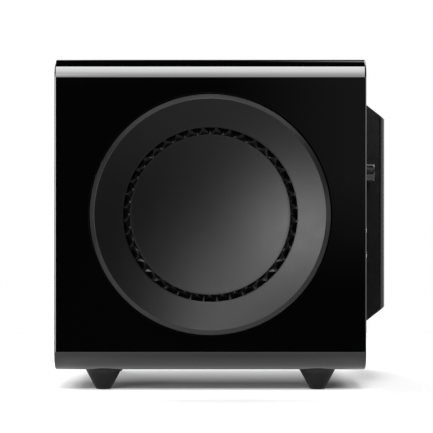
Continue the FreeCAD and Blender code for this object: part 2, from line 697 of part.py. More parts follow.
def amp_panel_gasket():
    """Flat seal in the rebate, behind the edge of the panel."""
    half_x = PANEL_WIDTH / 2 - PANEL_GAP
    half_z = PANEL_HEIGHT / 2 - PANEL_GAP
    outer = panel_plate(half_x, half_z, REBATE_Y, PANEL_BACK_Y, PANEL_CORNER)
    inner = block(-CUTOUT_HALF_X - 1, CUTOUT_HALF_X + 1, REBATE_Y - 1, PANEL_BACK_Y + 1,
                  PANEL_Z - CUTOUT_HALF_Z - 1, PANEL_Z + CUTOUT_HALF_Z + 1)
    holes = [rod(PANEL_SCREW_RADIUS, V(x, REBATE_Y - 1, z), Y_AXIS, PANEL_GASKET + 2)
             for x, z in panel_screw_places()]
    return outer.cut([inner] + holes)


def panel_screw(x, z):
    """Countersunk screw, flush with the panel, with a cross recess."""
    base = PANEL_FACE_Y - PANEL_SCREW_HEAD_HEIGHT
    head = screw_head_cone(x, z)
    shank_start = PANEL_FACE_Y - PANEL_SCREW_LENGTH
    shank = rod(PANEL_SCREW_RADIUS, V(x, shank_start, z), Y_AXIS, base - shank_start)
    recess_y = PANEL_FACE_Y - SCREW_CROSS_DEPTH
    arm = SCREW_CROSS_ARM
    half = SCREW_CROSS_WIDTH / 2
    cross = [block(x - arm, x + arm, recess_y, PANEL_FACE_Y + 1, z - half, z + half),
             block(x - half, x + half, recess_y, PANEL_FACE_Y + 1, z - arm, z + arm)]
    return head.fuse(shank).cut(cross)


def heatsink():
    """Finned casting over the panel's full height, with sloping ends and rounded outer edges."""
    half = HEATSINK_WIDTH / 2
    low = PANEL_Z - PANEL_HEIGHT / 2
    high = PANEL_Z + PANEL_HEIGHT / 2
    outline = [V(-half, PANEL_FACE_Y, low), V(-half, HEATSINK_Y, low + HEATSINK_SLOPE_DROP),
               V(-half, HEATSINK_Y, high - HEATSINK_SLOPE_DROP), V(-half, PANEL_FACE_Y, high)]
    body = polygon(outline).extrude(V(HEATSINK_WIDTH, 0, 0))
    outer = [e for e in body.Edges if e.BoundBox.YMin > HEATSINK_Y - 0.1 and e.BoundBox.XLength < 0.1]
    body = body.makeFillet(HEATSINK_EDGE_RADIUS, outer)
    room = HEATSINK_WIDTH - 2 * HEATSINK_SIDE_FIN
    groove = (room - (HEATSINK_GROOVES - 1) * HEATSINK_FIN) / HEATSINK_GROOVES
    cutters = []
    for i in range(HEATSINK_GROOVES):
        x = -half + HEATSINK_SIDE_FIN + i * (groove + HEATSINK_FIN)
        cutters.append(block(x, x + groove, PANEL_FACE_Y + HEATSINK_BASE, HEATSINK_Y + 1, low - 1, high + 1))
    return body.cut(cutters)


def amp_enclosure():
    """Sealed cover that keeps the cabinet's air away from the electronics."""
    y0 = PANEL_BACK_Y - ENCLOSURE_DEPTH
    wall = ENCLOSURE_WALL
    outer = block(-ENCLOSURE_HALF_X, ENCLOSURE_HALF_X, y0, PANEL_BACK_Y,
                  PANEL_Z - ENCLOSURE_HALF_Z, PANEL_Z + ENCLOSURE_HALF_Z)
    corners = [e for e in outer.Edges if e.BoundBox.YLength > ENCLOSURE_DEPTH - 0.1]
    outer = outer.makeFillet(6.0, corners)
    inner = block(-ENCLOSURE_HALF_X + wall, ENCLOSURE_HALF_X - wall, y0 + wall, PANEL_BACK_Y + 1,
                  PANEL_Z - ENCLOSURE_HALF_Z + wall, PANEL_Z + ENCLOSURE_HALF_Z - wall)
    inner_corners = [e for e in inner.Edges if e.BoundBox.YLength > ENCLOSURE_DEPTH - 2.1]
    return outer.cut(inner.makeFillet(4.0, inner_corners))


def amplifier_board():
    """Circuit board inside the cover."""
    y1 = PANEL_BACK_Y - BOARD_SETBACK
    return block(-BOARD_HALF_X, BOARD_HALF_X, y1 - BOARD_THICKNESS, y1,
                 PANEL_Z - BOARD_HALF_Z, PANEL_Z + BOARD_HALF_Z)


def board_capacitors():
    """Four reservoir capacitors on the inner side of the board."""
    board_y = PANEL_BACK_Y - BOARD_SETBACK - BOARD_THICKNESS
    base = board_y - CAPACITOR_LENGTH
    cans = []
    for x in (20.0, 50.0):
        for z in (-16.0, 16.0):
            cans.append(rod(CAPACITOR_RADIUS, V(x, base, PANEL_Z + z), Y_AXIS, CAPACITOR_LENGTH))
    return cans


def power_transformer():
    """Ring transformer on the inner side of the board."""
    y1 = PANEL_BACK_Y - BOARD_SETBACK - BOARD_THICKNESS
    y0 = y1 - TRANSFORMER_HEIGHT
    r0, r1, soft = TRANSFORMER_BORE, TRANSFORMER_RADIUS, 6.0
    profile = [(r0, y0 + soft), (r0 + soft / 2, y0), (r1 - soft, y0), (r1, y0 + soft),
               (r1, y1 - soft), (r1 - soft, y1), (r0 + soft / 2, y1), (r0, y1 - soft)]
    return turned_rear(profile, -50.0, PANEL_Z)


def rca_socket(x, z):
    """Phono socket: threaded tail, nut and plated barrel."""
    floor = PANEL_FACE_Y
    tip = REAR_Y + RCA_REACH
    tail = PANEL_BACK_Y - RCA_TAIL_LENGTH
    return turned_rear([
        (0, tail), (RCA_TAIL_RADIUS, tail), (RCA_TAIL_RADIUS, floor), (RCA_NUT_RADIUS, floor),
        (RCA_NUT_RADIUS, floor + RCA_NUT_HEIGHT), (RCA_RADIUS, floor + RCA_NUT_HEIGHT),
        (RCA_RADIUS, tip - 0.3), (RCA_RADIUS - 0.3, tip), (RCA_BORE_RADIUS, tip),
        (RCA_BORE_RADIUS, floor + 0.4), (0, floor + 0.4)], x, z)


def rca_insulator(x, z):
    """Insulating core of a phono socket, with its pin hole."""
    floor = PANEL_FACE_Y + 0.4
    top = REAR_Y + RCA_REACH - RCA_INSULATOR_RECESS
    return turned_rear([
        (0, floor), (RCA_BORE_RADIUS, floor), (RCA_BORE_RADIUS, top), (RCA_PIN_HOLE_RADIUS + 0.4, top),
        (RCA_PIN_HOLE_RADIUS, top - 0.4), (RCA_PIN_HOLE_RADIUS, floor + 1.0), (0, floor + 1.0)], x, z)


def potentiometer(x):
    """Rotary control behind the panel with its threaded bush."""
    z = MID_Z + KNOB_ROW
    bush_end = PANEL_FACE_Y + 0.3
    bore = SHAFT_RADIUS + SHAFT_FIT
    back = PANEL_BACK_Y - POT_DEPTH
    return turned_rear([
        (0, back), (POT_RADIUS, back), (POT_RADIUS, PANEL_BACK_Y), (BUSH_RADIUS, PANEL_BACK_Y),
        (BUSH_RADIUS, bush_end), (bore, bush_end), (bore, back + 2.0), (0, back + 2.0)], x, z)


def control_shaft(x):
    """Shaft from the rotary control into its knob."""
    start = PANEL_BACK_Y - POT_DEPTH + 2.0 + SHAFT_FIT
    end = REAR_Y + KNOB_REACH - 2.5
    return rod(SHAFT_RADIUS, V(x, start, MID_Z + KNOB_ROW), Y_AXIS, end - start)


def control_knob(x):
    """Slightly tapered knob with a pointer groove on its face."""
    z = MID_Z + KNOB_ROW
    near = PANEL_FACE_Y + KNOB_GAP
    far = REAR_Y + KNOB_REACH
    edge = KNOB_EDGE_RADIUS
    crown = KNOB_RADIUS - KNOB_DRAFT
    skin = 1.6
    socket_end = far - 2.5
    body = turned_rear([
        (SHAFT_RADIUS, near), (SHAFT_RADIUS + 1.8, near), (SHAFT_RADIUS + 1.8, far - skin - 0.8),
        (KNOB_RADIUS - skin, far - skin - 0.8), (KNOB_RADIUS - skin, near), (KNOB_RADIUS, near),
        (crown, far - edge), (crown - edge * 0.3, far - edge * 0.3), (crown - edge, far), (0, far),
        (0, socket_end), (SHAFT_RADIUS, socket_end)], x, z)
    width, length, depth = KNOB_POINTER
    groove = block(x - width / 2, x + width / 2, far - depth, far + 1,
                   z + crown - edge - length, z + KNOB_RADIUS + 1)
    return body.cut(groove)


def slide_switch_body(z, travel):
    """Slide switch housing behind the panel, with the channel its slider runs in."""
    width, height, depth = SWITCH_BODY
    middle = z + travel / 2
    body = block(SWITCH_X - width / 2, SWITCH_X + width / 2, PANEL_BACK_Y - depth, PANEL_BACK_Y,
                 middle - height / 2, middle + height / 2)
    half_x = SLIDER_FOOT[0] / 2 + SLIDER_CLEARANCE
    half_z = SLIDER_FOOT[1] / 2 + SLIDER_CLEARANCE
    channel_floor = PANEL_BACK_Y - SLIDER_FOOT[2] - 2 * SLIDER_CLEARANCE
    channel = block(SWITCH_X - half_x, SWITCH_X + half_x, channel_floor, PANEL_BACK_Y + 1,
                    z - half_z, z + travel + half_z)
    return body.cut(channel)


def slide_button(z):
    """Slider: a ribbed button above a foot that runs in the housing."""
    width, height, proud = SLIDER_SIZE
    foot_width, foot_height, foot_depth = SLIDER_FOOT
    foot_top = PANEL_BACK_Y - SLIDER_CLEARANCE
    base = block(SWITCH_X - foot_width / 2, SWITCH_X + foot_width / 2, foot_top - foot_depth, foot_top,
                 z - foot_height / 2, z + foot_height / 2)
    top = PANEL_FACE_Y + proud
    left, right = SWITCH_X - width / 2, SWITCH_X + width / 2
    button = block(left, right, foot_top, top, z - height / 2, z + height / 2)
    grooves = []
    for i in (-1, 0, 1):
        groove_z = z + i * SLIDER_RIB_PITCH
        grooves.append(block(left - 1, right + 1, top - SLIDER_RIB_DEPTH, top + 1,
                             groove_z - SLIDER_RIB_WIDTH / 2, groove_z + SLIDER_RIB_WIDTH / 2))
    return base.fuse(button).cut(grooves)


def eq_button():
    """Round push button kept in by a flange behind the panel."""
    z = MID_Z + BUTTON_Z
    top = PANEL_FACE_Y + BUTTON_PROUD
    flange_top = PANEL_BACK_Y - 0.3
    return turned_rear([
        (0, flange_top - 6.0), (1.5, flange_top - 6.0), (1.5, flange_top - 1.2),
        (BUTTON_FLANGE_RADIUS, flange_top - 1.2), (BUTTON_FLANGE_RADIUS, flange_top),
        (BUTTON_RADIUS, flange_top),
        (BUTTON_RADIUS, top - 0.6), (BUTTON_RADIUS - 0.6, top), (2.5, top), (0, top - 0.4)], BUTTON_X, z)


def status_lens():
    """Small domed light pipe."""
    z = MID_Z + BUTTON_Z
    top = PANEL_FACE_Y + LENS_PROUD
    return turned_rear([
        (0, PANEL_BACK_Y - 4.0), (LENS_RADIUS, PANEL_BACK_Y - 4.0), (LENS_RADIUS, PANEL_FACE_Y),
        (LENS_RADIUS * 0.85, PANEL_FACE_Y + LENS_PROUD * 0.6), (LENS_RADIUS * 0.5, top), (0, top)], LENS_X, z)


def speaker_terminal_block():
    """Screw terminal block with a row of wire holes under a row of clamp screws."""
    width, height, depth = TERMINAL_BLOCK
    z = MID_Z + TERMINAL_BLOCK_Z
    front = PANEL_FACE_Y + 1.5
    body = block(SWITCH_X - width / 2, SWITCH_X + width / 2, front - depth, front,
                 z - height / 2, z + height / 2)
    cutters = []
    for i in range(TERMINAL_POLES):
        x = SWITCH_X + (i - (TERMINAL_POLES - 1) / 2) * TERMINAL_PITCH
        cutters.append(rod(TERMINAL_HOLE_RADIUS, V(x, front - 8, z - 2.6), Y_AXIS, 9))
        slot = block(x - TERMINAL_SCREW_RADIUS, x + TERMINAL_SCREW_RADIUS, front - 0.6, front + 1,
                     z + 2.5, z + 3.1)
        rim = rod(TERMINAL_SCREW_RADIUS + 0.4, V(x, front - 0.5, z + 2.8), Y_AXIS, 2)
        cutters += [slot, rim.cut(rod(TERMINAL_SCREW_RADIUS, V(x, front - 1, z + 2.8), Y_AXIS, 4))]
    return body.cut(cutters)


def rocker_frame():
    """Bezel and housing of the power switch."""
    z = MID_Z + ROCKER_Z
    width, height, thick = ROCKER_FRAME
    flange = block(SWITCH_X - width / 2, SWITCH_X + width / 2, PANEL_FACE_Y, PANEL_FACE_Y + thick,
                   z - height / 2, z + height / 2)
    edges = [e for e in flange.Edges if e.BoundBox.YLength > thick - 0.1]
    flange = flange.makeFillet(1.5, edges)
    body_width, body_height, body_depth = ROCKER_BODY
    body_back = PANEL_FACE_Y - body_depth
    body = block(SWITCH_X - body_width / 2, SWITCH_X + body_width / 2, body_back, PANEL_FACE_Y,
                 z - body_height / 2, z + body_height / 2)
    half_x, half_z = ROCKER_WINDOW[0] / 2, ROCKER_WINDOW[1] / 2
    window = block(SWITCH_X - half_x, SWITCH_X + half_x, PANEL_FACE_Y - body_depth + 1.5, PANEL_FACE_Y + 4,
                   z - half_z, z + half_z)
    pin_start = V(SWITCH_X - half_x - 1.1, PANEL_FACE_Y - ROCKER_PIVOT_DEPTH, z)
    pin = rod(ROCKER_PIN_RADIUS + ROCKER_PIN_FIT, pin_start, X_AXIS, 2 * half_x + 2.2)
    return flange.fuse(body).cut([window, pin])


def power_rocker():
    """Rocker with two facets and two stub pivots, resting in its on position."""
    z = MID_Z + ROCKER_Z
    pivot_y = PANEL_FACE_Y - ROCKER_PIVOT_DEPTH
    half_x, half_z = ROCKER_SIZE[0] / 2, ROCKER_SIZE[1] / 2
    crest = PANEL_FACE_Y + 2.6
    dip = PANEL_FACE_Y + 1.4
    low = pivot_y - 3.0
    shoulder = PANEL_FACE_Y - 1.0
    profile = [(low, -0.55), (shoulder, -1), (crest, -1), (dip, 0), (crest, 1), (shoulder, 1), (low, 0.55)]
    outline = [V(SWITCH_X - half_x, y, z + share * half_z) for y, share in profile]
    body = polygon(outline).extrude(V(2 * half_x, 0, 0))
    pin = rod(ROCKER_PIN_RADIUS, V(SWITCH_X - half_x - 1.0, pivot_y, z), X_AXIS, 2 * half_x + 2.0)
    rocker = body.fuse(pin)
    rocker.rotate(V(SWITCH_X, pivot_y, z), X_AXIS, -ROCKER_TILT)
    return rocker


def inlet_outline(half_x, half_z, corner, y, z):
    """Inlet opening: a rectangle with its two upper corners cut off."""
    offsets = [(-half_x, -half_z), (half_x, -half_z), (half_x, half_z - corner),
               (half_x - corner, half_z), (corner - half_x, half_z), (-half_x, half_z - corner)]
    return polygon([V(SWITCH_X + dx, y, z + dz) for dx, dz in offsets])


def mains_inlet():
    """Three-pole mains inlet housing."""
    z = MID_Z + INLET_Z
    width, height, thick = INLET_FLANGE
    face = PANEL_FACE_Y + thick
    flange = block(SWITCH_X - width / 2, SWITCH_X + width / 2, PANEL_FACE_Y, face,
                   z - height / 2, z + height / 2)
    edges = [e for e in flange.Edges if e.BoundBox.YLength > thick - 0.1]
    flange = flange.makeFillet(2.5, edges)
    body_width, body_height = INLET_BODY
    body = block(SWITCH_X - body_width / 2, SWITCH_X + body_width / 2, face - INLET_BODY_DEPTH, PANEL_FACE_Y,
                 z - body_height / 2, z + body_height / 2)
    cavity_y = face - INLET_CAVITY_DEPTH
    cavity = inlet_outline(INLET_CAVITY[0] / 2, INLET_CAVITY[1] / 2, INLET_CORNER, cavity_y, z)
    return flange.fuse(body).cut(cavity.extrude(V(0, INLET_CAVITY_DEPTH + 1, 0)))


def inlet_pins():
    """Three blades standing on the floor of the inlet."""
    z = MID_Z + INLET_Z
    y0 = PANEL_FACE_Y + INLET_FLANGE[2] - INLET_CAVITY_DEPTH
    width, height, length = PIN_SIZE
    pins = []
    for x_offset, z_offset in ((-PIN_SPACING, -0.5), (0.0, EARTH_PIN_RAISE - 0.5), (PIN_SPACING, -0.5)):
        x = SWITCH_X + x_offset
        middle = z + z_offset
        blade = block(x - width / 2, x + width / 2, y0, y0 + length, middle - height / 2, middle + height / 2)
        tip = [e for e in blade.Edges if e.BoundBox.YMin > y0 + length - 0.1]
        pins.append(blade.makeChamfer(0.5, tip))
    return pins


# ---- assembly ----------------------------------------------------------------
def make_cabinet():
    """Carcass, boards, damping and feet."""
    save("cabinet_shell", cabinet_shell())
    save("rear_baffle", rear_baffle())
    save("cabinet_brace", cabinet_brace())
    save("wadding_pads", *wadding_pads())
    for name, x, y in foot_places():
        save(name, foot(x, y))
    save("foot_screws", *[foot_screw(x, y) for _name, x, y in foot_places()])


def make_drivers():
    """The two opposed drivers, as mirror images."""
    pieces = (("trim_ring", trim_ring()), ("basket", basket()), ("surround", surround()),
              ("diaphragm", diaphragm()), ("cone", cone()), ("voice_coil_former", voice_coil_former()),
              ("voice_coil", voice_coil()), ("spider", spider()), ("top_plate", top_plate()),
              ("magnet", magnet()), ("yoke", yoke()))
    for hand, side in (("left", -1), ("right", 1)):
        for name, shape in pieces:
            save(hand + "_" + name, on_side(shape, side))
    sides = (-1, 1)
    save("driver_gaskets", *[on_side(driver_gasket(), side) for side in sides])
    save("driver_screws", *[on_side(screw, side) for side in sides for screw in driver_screws()])
    save("driver_terminals", *[on_side(driver_terminal(), side) for side in sides])
    save("driver_leads", *[on_side(driver_lead(offset), side) for side in sides
                           for offset in (-LEAD_SPREAD, LEAD_SPREAD)])


def make_amplifier():
    """Panel, heatsink, electronics, controls and connectors."""
    save("amp_panel", amp_panel())
    save("amp_panel_gasket", amp_panel_gasket())
    save("panel_screws", *[panel_screw(x, z) for x, z in panel_screw_places()])
    save("heatsink", heatsink())
    save("amp_enclosure", amp_enclosure())
    save("amplifier_board", amplifier_board())
    save("board_capacitors", *board_capacitors())
    save("power_transformer", power_transformer())
    save("rca_sockets", *[rca_socket(x, z) for x, z in rca_places()])
    save("rca_insulators", *[rca_insulator(x, z) for x, z in rca_places()])
    save("potentiometers", *[potentiometer(x) for x in (VOLUME_X, CROSSOVER_X)])
    for name, x in (("volume", VOLUME_X), ("crossover", CROSSOVER_X)):
        save(name + "_shaft", control_shaft(x))
        save(name + "_knob", control_knob(x))
    save("slide_switch_bodies", *[slide_switch_body(z, travel) for z, travel in switch_places()])
    save("phase_slider", slide_button(MID_Z + PHASE_Z))
    save("power_mode_slider", slide_button(MID_Z + POWER_MODE_Z))
    save("eq_button", eq_button())
    save("status_lens", status_lens())
    save("speaker_terminal_block", speaker_terminal_block())
    save("rocker_frame", rocker_frame())
    save("power_rocker", power_rocker())
    save("mains_inlet", mains_inlet())
    save("inlet_pins", *inlet_pins())


os.makedirs("parts", exist_ok=True)
make_cabinet()
make_drivers()
make_amplifier()
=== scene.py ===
import bpy
import bmesh
import json
import math
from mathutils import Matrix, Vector, noise
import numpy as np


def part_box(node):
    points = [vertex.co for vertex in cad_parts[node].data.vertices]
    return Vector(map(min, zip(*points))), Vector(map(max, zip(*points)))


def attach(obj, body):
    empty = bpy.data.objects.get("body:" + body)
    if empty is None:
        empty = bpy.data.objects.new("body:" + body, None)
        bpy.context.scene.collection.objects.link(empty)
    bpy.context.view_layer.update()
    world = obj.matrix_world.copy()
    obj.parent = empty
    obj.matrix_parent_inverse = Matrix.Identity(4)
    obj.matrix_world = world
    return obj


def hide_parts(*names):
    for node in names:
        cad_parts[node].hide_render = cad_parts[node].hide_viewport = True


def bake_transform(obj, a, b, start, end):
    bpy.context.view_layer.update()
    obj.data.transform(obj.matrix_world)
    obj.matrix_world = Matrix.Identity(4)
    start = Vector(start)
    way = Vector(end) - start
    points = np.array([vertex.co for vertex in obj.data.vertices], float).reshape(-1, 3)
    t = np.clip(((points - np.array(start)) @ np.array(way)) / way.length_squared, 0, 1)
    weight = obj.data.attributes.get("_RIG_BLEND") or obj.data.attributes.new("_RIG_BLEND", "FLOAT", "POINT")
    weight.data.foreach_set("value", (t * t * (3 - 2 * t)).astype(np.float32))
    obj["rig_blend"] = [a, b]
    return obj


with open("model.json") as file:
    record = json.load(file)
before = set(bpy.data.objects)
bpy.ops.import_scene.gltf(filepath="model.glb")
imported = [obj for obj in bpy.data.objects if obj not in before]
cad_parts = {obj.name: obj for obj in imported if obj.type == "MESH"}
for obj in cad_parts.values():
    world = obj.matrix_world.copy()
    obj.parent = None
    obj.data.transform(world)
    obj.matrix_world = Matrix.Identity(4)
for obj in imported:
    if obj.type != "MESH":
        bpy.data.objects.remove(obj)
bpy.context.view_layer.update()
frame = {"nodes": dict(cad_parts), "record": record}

NODES = frame["nodes"]
SLOT_OF = {part["node"]: part["material_slot"] for part in frame["record"]["subparts"]}
MM = 0.001
HANDS = (("left", -1.0), ("right", 1.0))

shell_low, shell_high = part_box("cabinet_shell")
MID_Y = (shell_low.y + shell_high.y) / 2
MID_Z = (shell_low.z + shell_high.z) / 2
FACE_X = shell_high.x


# ---- shader helpers ------------------------------------------------------------
NOISE_LOW, NOISE_HIGH = 0.3, 0.7         # where most of a noise texture's values lie
WORN_LOW, WORN_HIGH = 0.505, 0.56        # pointiness from which an edge counts as worn
COAT_ROUGHNESS = 0.05


def new_material(name):
    """A material, its node tree and its Principled shader."""
    mat = bpy.data.materials.new(name)
    mat.use_nodes = True
    tree = mat.node_tree
    return mat, tree, tree.nodes["Principled BSDF"]


def link(tree, source, target):
    """Join two sockets."""
    tree.links.new(source, target)


def texture(tree, kind, scale, detail=3.0, rough=0.5):
    """A procedural texture in object space, at a scale per metre."""
    place = tree.nodes.new("ShaderNodeTexCoord")
    node = tree.nodes.new("ShaderNodeTex" + kind)
    node.inputs["Scale"].default_value = scale
    if "Detail" in node.inputs:
        node.inputs["Detail"].default_value = detail
    if "Roughness" in node.inputs:
        node.inputs["Roughness"].default_value = rough
    link(tree, place.outputs["Object"], node.inputs["Vector"])
    return node


def axes(tree, space):
    """The X, Y and Z sockets of a texture coordinate."""
    place = tree.nodes.new("ShaderNodeTexCoord")
    split = tree.nodes.new("ShaderNodeSeparateXYZ")
    link(tree, place.outputs[space], split.inputs["Vector"])
    return [split.outputs[key] for key in "XYZ"]


def spread(tree, value, low, high, a=NOISE_LOW, b=NOISE_HIGH):
    """Map a value from a..b to low..high, clamped."""
    node = tree.nodes.new("ShaderNodeMapRange")
    node.inputs["From Min"].default_value = a
    node.inputs["From Max"].default_value = b
    node.inputs["To Min"].default_value = low
    node.inputs["To Max"].default_value = high
    link(tree, value, node.inputs["Value"])
    return node.outputs["Result"]


def maths(tree, operation, *values):
    """A math node on numbers or sockets."""
    node = tree.nodes.new("ShaderNodeMath")
    node.operation = operation
    for socket, value in zip(node.inputs, values):
        if isinstance(value, (int, float)):
            socket.default_value = value
        else:
            link(tree, value, socket)
    return node.outputs["Value"]


def product(tree, *factors):
    """The product of numbers or sockets, of which the first is a socket."""
    total = factors[0]
    for factor in factors[1:]:
        total = maths(tree, "MULTIPLY", total, factor)
    return total


def tint(tree, factor, a, b, kind="MIX"):
    """Blend two colours, each given as a colour or a socket."""
    node = tree.nodes.new("ShaderNodeMix")
    node.data_type = "RGBA"
    node.blend_type = kind
    link(tree, factor, node.inputs["Factor"])
    for key, colour in (("A", a), ("B", b)):
        if isinstance(colour, tuple):
            node.inputs[key].default_value = (*colour, 1)
        else:
            link(tree, colour, node.inputs[key])
    return node.outputs["Result"]


def bump(tree, shader, height, distance, below=None):
    """Relief of a distance in metres, on top of another relief if one is given."""
    node = tree.nodes.new("ShaderNodeBump")
    node.inputs["Strength"].default_value = 1.0
    node.inputs["Distance"].default_value = distance
    link(tree, height, node.inputs["Height"])
    if below is not None:
        link(tree, below, node.inputs["Normal"])
    link(tree, node.outputs["Normal"], shader.inputs["Normal"])
    return node.outputs["Normal"]


def surface(name, dark, light, rough, grain, metallic=0.0, mottle=18.0, coat=0.0, specular=0.5,
            edge=0.0, sheen=0.0, soft=None):
    """A finish with colour mottling, roughness variation, fine grain and lighter worn edges.

    dark and light bound the colour, and rough the roughness. grain is the fine relief's scale per
    metre and height in metres, and soft is the same for a long wave under it. mottle is the scale
    of the mottling per metre, and edge is how far worn edges lighten.
    """
    mat, tree, shader = new_material(name)
    colour = tint(tree, texture(tree, "Noise", mottle, 4.0, 0.6).outputs["Fac"], dark, light)
    if edge:
        geometry = tree.nodes.new("ShaderNodeNewGeometry")
        worn = spread(tree, geometry.outputs["Pointiness"], 0.0, edge, WORN_LOW, WORN_HIGH)
        colour = tint(tree, worn, colour, tuple(min(1.0, c * 3.0 + 0.02) for c in light))
    link(tree, colour, shader.inputs["Base Color"])
    fine = texture(tree, "Noise", grain[0], 4.0, 0.6)
    smear = texture(tree, "Noise", mottle * 3.1, 5.0, 0.62)
    link(tree, spread(tree, smear.outputs["Fac"], *rough), shader.inputs["Roughness"])
    below = None
    if soft:
        wave = texture(tree, "Noise", soft[0], 2.0, 0.5)
        below = bump(tree, shader, wave.outputs["Fac"], soft[1])
    bump(tree, shader, fine.outputs["Fac"], grain[1], below=below)
    shader.inputs["Metallic"].default_value = metallic
    shader.inputs["IOR"].default_value = 1.5
    shader.inputs["Specular IOR Level"].default_value = specular
    shader.inputs["Coat Weight"].default_value = coat
    shader.inputs["Coat Roughness"].default_value = COAT_ROUGHNESS
    shader.inputs["Sheen Weight"].default_value = sheen
    return mat


def dress(node, material):
    """Give a CAD node its material."""
    data = node.data
    if not data.materials:
        data.materials.append(material)
    for i in range(len(data.materials)):
        data.materials[i] = material
    for place in node.material_slots:
        place.link = "OBJECT"
        place.material = material


# ---- patterned finishes ----------------------------------------------------------
WIRE_PITCH = 0.0009


def winding_material():
    """Enamelled copper wire, wound along X."""
    mat, tree, shader = new_material("wound_copper")
    turns = texture(tree, "Wave", 1 / WIRE_PITCH, 0.0)
    turns.bands_direction = "X"
    colour = tint(tree, turns.outputs["Fac"], (0.28, 0.09, 0.03), (0.85, 0.42, 0.22))
    link(tree, colour, shader.inputs["Base Color"])
    patina = texture(tree, "Noise", 400, 3.0)
    link(tree, spread(tree, patina.outputs["Fac"], 0.22, 0.4), shader.inputs["Roughness"])
    bump(tree, shader, turns.outputs["Fac"], 0.00015)
    shader.inputs["Metallic"].default_value = 1.0
    return mat


def board_material():
    """Green solder mask with faint copper tracks under it."""
    mat, tree, shader = new_material("circuit_laminate")
    tracks = texture(tree, "Brick", 160)
    tracks.inputs["Mortar Size"].default_value = 0.03
    colour = tint(tree, tracks.outputs["Fac"], (0.008, 0.085, 0.03), (0.03, 0.2, 0.08))
    link(tree, colour, shader.inputs["Base Color"])
    film = texture(tree, "Noise", 260, 4.0)
    link(tree, spread(tree, film.outputs["Fac"], 0.24, 0.4), shader.inputs["Roughness"])
    bump(tree, shader, tracks.outputs["Fac"], 0.00004)
    return mat


def sleeve_material(name, dark, light, bands, axis):
    """Shrink sleeve or tape with fine wound bands."""
    mat, tree, shader = new_material(name)
    wound = texture(tree, "Wave", bands, 1.0)
    wound.bands_direction = axis
    blotch = texture(tree, "Noise", 120, 4.0)
    both = product(tree, wound.outputs["Fac"], blotch.outputs["Fac"])
    link(tree, tint(tree, both, dark, light), shader.inputs["Base Color"])
    link(tree, spread(tree, blotch.outputs["Fac"], 0.28, 0.5), shader.inputs["Roughness"])
    bump(tree, shader, wound.outputs["Fac"], 0.0001)
    return mat


def phono_material():
    """Phono cores: white in the upper row and red in the lower one."""
    low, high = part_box("rca_insulators")
    middle = (low.z + high.z) / 2
    mat, tree, shader = new_material("phono_cores")
    height = axes(tree, "Object")[2]
    row = spread(tree, height, 0.0, 1.0, middle - MM, middle + MM)
    base = tint(tree, row, (0.5, 0.012, 0.012), (0.78, 0.77, 0.73))
    speck = texture(tree, "Noise", 900, 4.0)
    dust = spread(tree, speck.outputs["Fac"], 0.0, 0.18, 0.35, 0.7)
    colour = tint(tree, dust, base, (0.6, 0.6, 0.6), "MULTIPLY")
    link(tree, colour, shader.inputs["Base Color"])
    link(tree, spread(tree, speck.outputs["Fac"], 0.2, 0.34), shader.inputs["Roughness"])
    bump(tree, shader, speck.outputs["Fac"], 0.00002)
    return mat


